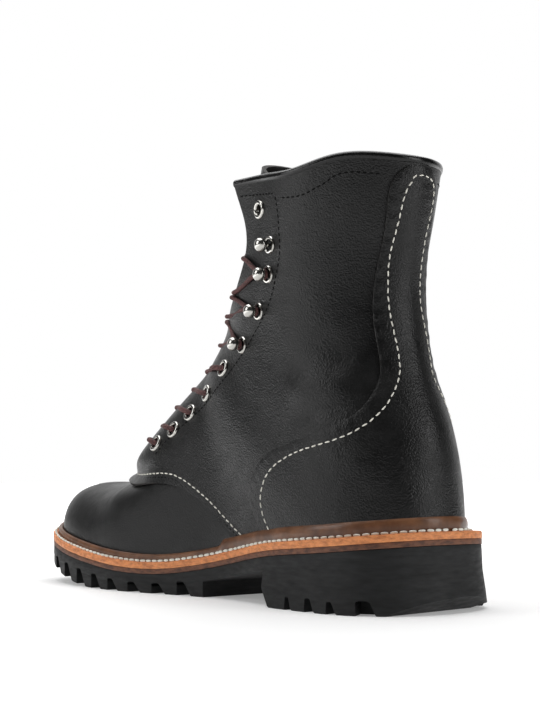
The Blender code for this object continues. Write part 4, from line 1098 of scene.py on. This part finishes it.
def through_eyelet(point, normal, edge, over):
    """From the facing's edge over an eyelet's rim and in through its hole."""
    by_rim = point + normal * (over + LACE_CLEAR) + LACE_RING * square_to(edge - point, normal)
    return [edge, by_rim, point + normal * (QUARTER_STEP - 0.2), point - normal * LACE_INSIDE]


def bent(path, bends):
    """The path with a place before and after each bend, so that the cord turns tightly there."""
    made = []
    for i, place in enumerate(path):
        before = after = []
        if i in bends:
            before, after = ([place + LACE_BEND * unit(path[j] - place)] for j in (i - 1, i + 1))
        made += before + [place] + after
    return made


def lace_tube(path, count):
    """The cord along a path, fuller where it is pulled tight through the eyelets."""
    path = resample(path, count)
    fuller = LACE_FULL * smooth((LACE_FULL_BELOW - path[:, 2]) / LACE_FULL_FADE)
    return tube(path, LACE_RADIUS * (1 + fuller), LACE_SIDES)


def make_strand(first_side, stations, frames, over):
    """One half of the lace, from its lowest eyelet to the top one on the outer side."""
    rows, _ = row_through(*np.array(stations).T)
    under = -(WALL + LACE_RADIUS + 0.2)
    side = first_side
    lift = LACE_CLEAR if side > 0 else 0.0
    point, normal, _ = (item[0] for item in frames[side])
    path = [point - normal * LACE_INSIDE, edge_place(rows[0] + 0.1, side, under)]
    bends = []
    for k in range(1, len(stations)):
        side = -side
        point, normal, along = (item[k] for item in frames[side])
        if k < HOOKS_FROM:
            edge = edge_place(EYELET_EDGE_ROWS[k], side, over - LACE_PRESS + lift)
            way = through_eyelet(point, normal, edge, over) + [edge_place(rows[k] + 0.1, side, under)]
            turns = (0,)
        else:
            pressed = over - HOOK_PRESS + lift
            edge, last = (edge_place(row, side, pressed) for row in HOOK_EDGE_ROWS[k - HOOKS_FROM])
            way = [edge, *hook_turn(point, normal, along), last]
            turns = (0, len(way) - 1)
        path += crossing(path[-1], edge)
        bends += [len(path) + turn for turn in turns]
        path += way
    if side > 0:
        end = edge_place(rows[-1] + 1.4, -1, over)
        path += crossing(path[-1], end) + [end]
    point, normal, along = (item[0] for item in hardware_frames(EYELETS[HOOKS_FROM:], -1))
    path.append(point + normal * (over + 0.8) - along * 4.0)
    path.append(point + normal * (QUARTER_STEP + 0.4))
    path.append(point - normal * LACE_INSIDE)
    return lace_tube(bent(path, bends), 1400)


def make_lace(materials):
    """Two strands up the eyelets and hooks, and the bar between the lowest eyelets."""
    stations = EYELETS[:HOOKS_FROM] + HOOKS[:HOOKS_LACED]
    frames = {side: hardware_frames(stations, side) for side in (1, -1)}
    over = QUARTER_STEP + LACE_RADIUS
    pieces = [make_strand(side, stations, frames, over) for side in (1, -1)]
    ends = []
    for side in (1, -1):
        point, normal, _ = (item[0] for item in frames[side])
        edge = edge_place(EYELET_EDGE_ROWS[0], side, over - LACE_PRESS)
        ends.append(through_eyelet(point, normal, edge, over))
    bar = ends[0][::-1] + crossing(ends[0][0], ends[1][0]) + ends[1]
    turns = (len(ends[0]) - 1, len(bar) - len(ends[1]))
    pieces.append(lace_tube(bent(bar, turns), 200))
    obj = make_object("lace", *joined(pieces), [materials["cord"]])
    show(obj, "cord", "lace_bar", *(f"lace_cross_{k}" for k in range(1, 8)))


# Sole

def sole_sides(grow):
    """Inner and outer edge of the sole, moved outwards, as (forward, across) curves."""
    forward = (1 - np.cos(np.linspace(0, np.pi, 1201))) / 2 * SOLE_LENGTH
    widths = OUTLINE_CURVE(np.minimum(forward, BALL_FORWARD))
    heel = (1 - np.clip(1 - forward / HEEL_ROUND, 0, 1) ** HEEL_POWER) ** (1 / HEEL_POWER)
    ahead = np.clip((forward - BALL_FORWARD) / (SOLE_LENGTH - BALL_FORWARD), 0, 1)
    toe = (1 - ahead**TOE_POWER) ** (1 / TOE_POWER)
    sides = {}
    for side, width in ((1, widths[:, 0]), (-1, widths[:, 1])):
        across = TOE_SWING * ahead**2 + side * width * heel * toe
        turn_across, turn_forward = np.gradient(across), np.gradient(forward)
        length = np.hypot(turn_across, turn_forward)
        sides[side] = (
            forward - side * grow * turn_across / length,
            across + side * grow * turn_forward / length,
        )
    return sides


def sole_across(sides, side, forward):
    return np.interp(forward, *sides[side])


def tread_bottom(forward):
    ahead = np.clip((forward - TREAD_FLAT_END) / (SOLE_LENGTH - TREAD_FLAT_END), 0, 1)
    return TOE_SPRING * ahead**SPRING_POWER


def block(levels, start, end, count):
    """A layer of the sole through several levels, each with its own outline growth and height line."""
    eased = (1 - np.cos(np.linspace(0, np.pi, count))) / 2
    points = []
    for grow, line in levels:
        sides = sole_sides(grow)
        first = max(start, sides[1][0][0])
        last = min(end, sides[1][0][-1])
        forward = first + (last - first) * eased
        for side in (1, -1):
            across = sole_across(sides, side, forward)
            points.append(np.stack([across, forward, line(forward)], -1))
    points = placed(np.concatenate(points))
    faces = []
    for k in range(len(levels) - 1):
        inner, outer = 2 * k * count, (2 * k + 1) * count
        step = 2 * count
        for i in range(count - 1):
            faces.append((inner + i, inner + i + 1, inner + step + i + 1, inner + step + i))
            faces.append((outer + i + 1, outer + i, outer + step + i, outer + step + i + 1))
        faces.append((outer, inner, inner + step, outer + step))
        tip = count - 1
        faces.append((inner + tip, outer + tip, outer + step + tip, inner + step + tip))
    for k, flip in ((0, True), (len(levels) - 1, False)):
        inner, outer = 2 * k * count, (2 * k + 1) * count
        for i in range(count - 1):
            face = (inner + i, inner + i + 1, outer + i + 1, outer + i)
            faces.append(face[::-1] if flip else face)
    return points, faces


def rounded_levels(low, high, grow, radius):
    """Levels of a layer with rounded upper and lower corners."""
    near = 0.3 * radius
    return [
        (grow - radius, low), (grow - near, raised(low, near)), (grow, raised(low, radius)),
        (grow, raised(high, -radius)), (grow - near, raised(high, -near)), (grow - radius, high),
    ]


def cut_away(obj, cutters):
    """Cuts closed shapes out of a mesh."""
    cutter = mended("cutter", *joined(cutters), *obj.data.materials)
    boolean = obj.modifiers.new("cut", "BOOLEAN")
    boolean.operation = "DIFFERENCE"
    boolean.object = cutter
    boolean.use_self = True
    graph = bpy.context.evaluated_depsgraph_get()
    data = bpy.data.meshes.new_from_object(obj.evaluated_get(graph))
    obj.modifiers.clear()
    obj.data = data
    bpy.data.objects.remove(cutter, do_unlink=True)


def notch(middle, tangent, inward, low, high, reach, wide_low, wide_high, slant):
    """A groove cutter from the sole's edge inwards, with a straight side and one that widens to its foot."""
    straight, slanted = [], []
    for share in NOTCH_SHARES:
        level = low + (high - low) * share
        wide = wide_low + (wide_high - wide_low) * share
        trim = NOTCH_TRIM * wide_high * (share == 1.0)
        straight.append((-slant * (wide_high / 2 - trim), level))
        slanted.append((slant * (wide - wide_high / 2 - trim), level))
    ring = straight + slanted[::-1]
    points = []
    for depth in (-GROOVE_OUTSIDE, reach):
        for along, level in ring:
            points.append((*(middle + inward * depth + tangent * along), level))
    return placed(points), prism_faces(len(ring))


def prism(outline, half, slant=0.0):
    """A shape across the boot with this side view, further forward on its outer side by the slant."""
    ends = ((-half, slant), (half, -slant))
    points = [(across, forward + shift, high) for across, shift in ends for forward, high in outline]
    return placed(points), prism_faces(len(outline))


def show_rubber(obj, soft, node):
    soften(obj, soft)
    shade(obj.data)
    show(obj, "rubber", node)


def make_outsole(materials):
    rubber = materials["rubber"]
    levels = rounded_levels(base_bottom, raised(outsole_top, TREAD_RISE), -0.3, 0.5)
    base = mended("outsole_base", *block(levels, -PAST_END, SOLE_LENGTH + PAST_END, 150), rubber)
    levels = [(-0.8, tread_bottom), (-0.5, raised(tread_bottom, 0.4)), (-0.4, raised(base_bottom, 1.5))]
    tread = mended("outsole_tread", *block(levels, TREAD_REAR, SOLE_LENGTH + PAST_END, 150), rubber)
    sides = sole_sides(0.0)
    grooves, ribs = [], []
    for k in range(LUG_COUNT):
        middle = LUG_FIRST + k * LUG_PITCH
        top = float(base_bottom(middle)) + GROOVE_INTO
        foot = float(tread_bottom(middle)) - GROOVE_BELOW
        for side in (1, -1):
            edge = np.array([float(sole_across(sides, side, middle)), middle])
            forwards, inwards = np.array([0.0, 1.0]), np.array([-side, 0.0])
            grooves.append(notch(edge, forwards, inwards, foot, top, GROOVE_LONG, *GROOVE_WIDE, -1))
        if k < LUG_COUNT - 2:
            shift = middle + LUG_PITCH / 2
            top = float(base_bottom(shift))
            start, end = shift - RIB_HALF, shift + RIB_HALF
            outline = ((start, GROOVE_FLOOR), (end, GROOVE_FLOOR), (end, top), (start, top))
            ribs.append(prism(outline, RIB_OFFSET))
    cut_away(base, grooves)
    cut_away(tread, grooves + ribs)
    for obj in (base, tread):
        show_rubber(obj, 0.35, "outsole")


def heel_notches():
    path = []
    for side, (forward, across) in sole_sides(HEEL_FLARE).items():
        kept = forward < HEEL_BREAST - GROOVE_OUTSIDE
        path.append(np.stack([across[kept], forward[kept]], -1)[::-side])
    path = np.concatenate(path)
    run = run_of(path)
    cutters = []
    for share, high, wide_low, wide_high in HEEL_NOTCHES:
        for place, slant in ((share * run[-1], 1), ((1 - share) * run[-1], -1)):
            middle = at_run(place, run, path)
            tangent = unit(at_run(place + 1, run, path) - middle)
            inward = np.array([-tangent[1], tangent[0]])
            inward *= np.sign(inward @ (np.array([0.0, HEEL_ROUND]) - middle))
            sizes = (HEEL_NOTCH_LOW, high, HEEL_NOTCH_DEEP, wide_low, wide_high)
            cutters.append(notch(middle, tangent, inward, *sizes, slant))
    return cutters


def make_heel(materials):
    flat = np.zeros_like
    top = raised(outsole_top, -1.2)
    levels = [
        (HEEL_FLARE - 0.6, flat), (HEEL_FLARE, raised(flat, 0.7)), (HEEL_FLARE - 0.9, raised(flat, 9.0)),
        (0.05, raised(flat, 18.0)), (-0.2, raised(top, -2.0)), (-0.25, top),
    ]
    heel = mended("heel_block", *block(levels, -PAST_END, HEEL_BREAST, 110), materials["rubber"])
    cut_away(heel, [prism(HEEL_CHAMFER, CUT_HALF)])
    cut_away(heel, [prism(HEEL_BEVEL, CUT_HALF, HEEL_BEVEL_SLANT)])
    cut_away(heel, heel_notches())
    show_rubber(heel, 0.5, "heel")


def make_layers(materials):
    low = raised(midsole_bottom, -EDGE_DROP_LOW)
    tan_levels = rounded_levels(low, raised(midsole_top, -EDGE_DROP), 0.0, 0.35)
    dark_levels = rounded_levels(raised(slip_bottom, 0.3), low, -0.15, 0.25)
    for name, levels, word, node in (
        ("midsole_edge", tan_levels, "tan", "midsole"), ("slip_edge", dark_levels, "dark", "slip_sole"),
    ):
        layer = block(levels, -PAST_END, SOLE_LENGTH + PAST_END, 180)
        show(mended(name, *layer, materials[word]), f"{word}_edge", node)


def feather_ring(count):
    """Lower edge of the upper, round the boot from heel to heel: places and outward directions."""
    rows = np.linspace(0, COLLAR_ROW, 6001)
    bottoms = share_at_line(rows, feather_line)
    corner = int(np.argmax(bottoms >= 1)) + 1
    inner, outer = (form_point(rows[:corner], bottoms[:corner], side) for side in (1, -1))
    ring = np.concatenate([inner[::-1], outer[1:]])
    run = run_of(ring)
    ring = at_run(np.linspace(0, run[-1], count + 1)[:-1], run, ring)
    tangent = np.roll(ring, -2, 0) - np.roll(ring, 2, 0)
    outward = unit(np.stack([-tangent[:, 1], tangent[:, 0]], -1))
    return ring, outward * np.sign(outward[0] @ np.array([0.0, -1.0]))


def reach_to_edge(ring, outward):
    sides = sole_sides(0.0)
    low = np.zeros(len(ring))
    high = np.full(len(ring), 25.0)
    for _ in range(BISECTIONS):
        middle = (low + high) / 2
        across, forward = (ring[:, :2] + outward * middle[:, None]).T
        inside = (across < sole_across(sides, 1, forward)) & (across > sole_across(sides, -1, forward))
        inside &= (forward > 0) & (forward < SOLE_LENGTH)
        low = np.where(inside, middle, low)
        high = np.where(inside, high, middle)
    return low


def lean_outwards(ring, outward, rise):
    """How far the last moves outwards, from each ring place, in this much rise."""
    low = np.full(len(ring), -2.0)
    high = np.full(len(ring), 10.0)
    for _ in range(16):
        lean = (low + high) / 2
        across, forward = (ring[:, :2] + outward * lean[:, None]).T
        row, share = row_through(forward, ring[:, 2] + rise)
        cut = section(row)
        past_end = (row < 0.001) | (forward < side_view(cut, 1.0)[0])
        side = np.where(across > cut["swing"], 1, -1)
        past = past_end | (np.abs(across - cut["swing"]) > half_width(cut, share, side))
        high = np.where(past, lean, high)
        low = np.where(past, low, lean)
    lean = np.maximum(lean, 0.0)
    padded = np.concatenate([lean[-4:], lean, lean[:4]])
    return np.convolve(padded, np.ones(9) / 9, "valid")


def make_welt(materials):
    """A strip round the upper: a rolled bead by the vamp, and a taller lip round the heel."""
    ring, outward = feather_ring(420)
    count = len(ring)
    heel = 1 - smooth((ring[:, 1] - WELT_JOINT) / WELT_JOINT_LONG + 0.5)
    start = QUARTER_STEP * heel + 0.1
    foot = start + lean_outwards(ring, outward, WELT_LEAN_RISE)
    tall = WELT_LIP[0] + WELT_LIP[1] * heel
    run = np.arange(count)
    ripple = 0.25 * heel * np.sin(run * 0.42) * np.sin(run * 0.13 + 1)
    bead = foot + 2.3 + 0.5 * heel + ripple
    reach = np.maximum(reach_to_edge(ring, outward) - 0.2, bead + 0.7)
    groove = np.minimum(bead + 0.4, reach - 0.5)
    shelf = -SHELF_DROP
    profile = (
        (start, shelf - 0.8), (reach - 0.2, shelf - 0.8), (reach, shelf - 0.5), (reach, shelf - 0.25),
        (reach - 0.35, shelf), (groove + 0.3, shelf), (groove, shelf - 0.15), (bead, shelf + 0.25),
        (bead + 0.2, 0.3 * tall), (bead + 0.15, 0.62 * tall), (bead - 0.2, 0.84 * tall),
        (bead - 0.75, 0.97 * tall), (bead - 1.35, tall), (bead - 1.9, 0.95 * tall), (foot - 0.2, 0.8 * tall),
    )

    def over_midsole(out, high):
        place = ring[:, :2] + outward * out[:, None]
        level = midsole_top(np.clip(place[:, 1], 0, SOLE_LENGTH)) + high
        return placed(np.concatenate([place, level[:, None]], 1))

    points = np.concatenate([over_midsole(*corner) for corner in profile])
    faces = np.array(ring_faces(len(profile) + 1, count)) % len(points)
    indices = np.arange(len(faces)) < WELT_LIP_FROM * count
    strip = mended("welt_strip", points, faces, materials["welt"], materials["tan"], indices=indices)
    show(strip, "welt_leather", "welt")
    path = over_midsole(np.minimum((groove + reach) / 2 + 0.2, groove + 1.3), shelf + 0.55)
    lean_normal = unit(np.stack([0.35 * outward[:, 0], -0.35 * outward[:, 1], np.ones(count)], -1))
    stitches = stitches_along(path, lean_normal, WELT_PITCH, *WELT_SIZE)
    show(make_object("welt_stitches", *joined(stitches), [materials["white"]]), "cord")


# Stage, light and camera

CAMERA_PLACE = (0.4672, 0.6078, 0.06325)
CAMERA_FORWARD = (-0.6188, -0.7817, 0.0778)
CAMERA_LENS = 71.57
BACKDROP = (-0.62, -0.78, 0.0)
BACKDROP_SPAN = (0.55, 0.94)
SURROUND = 0.04
LEFTWARDS = (0.78, -0.62, 0.0)
FLOOR_WHITE = (0.8, 0.8, 0.8)
FLOOR_HALF = 6.0
# Painted light: the floor's emission strength, low near the boot and glowing up to these values towards the
# back and the left
FLOOR_BACK_GLOW = (0.24, 1.1)
FLOOR_BACK_SPAN = (0.15, 1.0)
FLOOR_LEFT_GLOW = (0.24, 2.3)
FLOOR_LEFT_SPAN = (0.3, 1.1)
LIGHT_TARGET = (0.0, 0.0, 0.10)
LIGHTS = (
    ("top", (-0.2, -0.3, 1.6), (1.8, 1.8), 34.0),
    ("right", (-0.55, 1.4, 0.6), (0.6, 1.0), 6.6),
    ("left", (1.35, -0.6, 0.85), (0.8, 1.0), 7.2),
)


def along_floor(paint, direction):
    """How far a place on the floor lies in this direction, in metres."""
    distance = paint.node("ShaderNodeVectorMath")
    distance.operation = "DOT_PRODUCT"
    distance.inputs[1].default_value = direction
    paint.wire(paint.place((1.0, 1.0, 1.0)), distance.inputs[0])
    return distance.outputs["Value"]


def make_stage():
    """A white floor with painted light: its emission glows brighter to the back and to the left, standing in
    for lamp light on the far floor and lighting the boot's reflections.
    """
    mesh = bpy.data.meshes.new("floor")
    corners = [(x * FLOOR_HALF, y * FLOOR_HALF, 0.0) for x, y in ((-1, -1), (1, -1), (1, 1), (-1, 1))]
    mesh.from_pydata(corners, [], [(0, 1, 2, 3)])
    floor = bpy.data.objects.new("floor", mesh)
    bpy.context.scene.collection.objects.link(floor)
    paint = Surface("floor_white_painted_glow", FLOOR_WHITE, 0.9)
    paint.set("Specular IOR Level", 0.1)
    paint.set("Emission Color", (1.0, 1.0, 1.0, 1.0))
    # Painted light: emission that glows more with distance to the back and to the left of the boot
    behind = along_floor(paint, BACKDROP)
    beside = along_floor(paint, LEFTWARDS)
    painted_glow = paint.node("ShaderNodeMath")
    painted_glow.operation = "MAXIMUM"
    paint.wire(paint.mapped(behind, *FLOOR_BACK_GLOW, *FLOOR_BACK_SPAN), painted_glow.inputs[0])
    paint.wire(paint.mapped(beside, *FLOOR_LEFT_GLOW, *FLOOR_LEFT_SPAN), painted_glow.inputs[1])
    paint.wire(painted_glow.outputs["Value"], paint.shader.inputs["Emission Strength"])
    mesh.materials.append(paint.material)


def soft_light(name, place, target, size, power):
    data = bpy.data.lights.new(name, "AREA")
    data.shape = "RECTANGLE"
    data.size, data.size_y = size
    data.energy = power
    obj = bpy.data.objects.new(name, data)
    obj.location = place
    direction = Vector(target) - Vector(place)
    obj.rotation_euler = direction.to_track_quat("-Z", "Y").to_euler()
    bpy.context.scene.collection.objects.link(obj)


def make_light():
    """A white backdrop behind the boot, dark surroundings and large soft boxes above and beside the camera."""
    world = bpy.data.worlds.new("studio")
    bpy.context.scene.world = world
    world.use_nodes = True
    tree = world.node_tree
    coordinates = tree.nodes.new("ShaderNodeTexCoord")
    facing = tree.nodes.new("ShaderNodeVectorMath")
    facing.operation = "DOT_PRODUCT"
    facing.inputs[1].default_value = BACKDROP
    tree.links.new(coordinates.outputs["Generated"], facing.inputs[0])
    span = tree.nodes.new("ShaderNodeMapRange")
    span.interpolation_type = "SMOOTHSTEP"
    for socket, value in zip(("From Min", "From Max", "To Min", "To Max"), (*BACKDROP_SPAN, SURROUND, 1.0)):
        span.inputs[socket].default_value = value
    tree.links.new(facing.outputs["Value"], span.inputs["Value"])
    tree.links.new(span.outputs["Result"], tree.nodes["Background"].inputs["Strength"])
    tree.nodes["Background"].inputs["Color"].default_value = (1.0, 1.0, 1.0, 1.0)
    for name, place, size, power in LIGHTS:
        soft_light(name, place, LIGHT_TARGET, size, power)
    bpy.context.scene.view_settings.view_transform = "Standard"


def make_camera():
    data = bpy.data.cameras.new("camera")
    data.lens = CAMERA_LENS
    data.sensor_width = 36.0
    data.clip_start = 0.01
    camera = bpy.data.objects.new("camera", data)
    camera.location = CAMERA_PLACE
    camera.rotation_euler = Vector(CAMERA_FORWARD).to_track_quat("-Z", "Y").to_euler()
    bpy.context.scene.collection.objects.link(camera)
    bpy.context.scene.camera = camera


def plain(bounds):
    return [[float(value) for value in corner] for corner in bounds]


def main():
    materials = make_materials()
    make_vamp(materials)
    make_quarters(materials)
    make_counter(materials)
    make_binding(materials)
    make_tongue(materials)
    make_stitches(materials)
    make_hardware(materials)
    make_lace(materials)
    make_outsole(materials)
    make_heel(materials)
    make_layers(materials)
    make_welt(materials)
    make_stage()
    make_light()
    make_camera()


main()
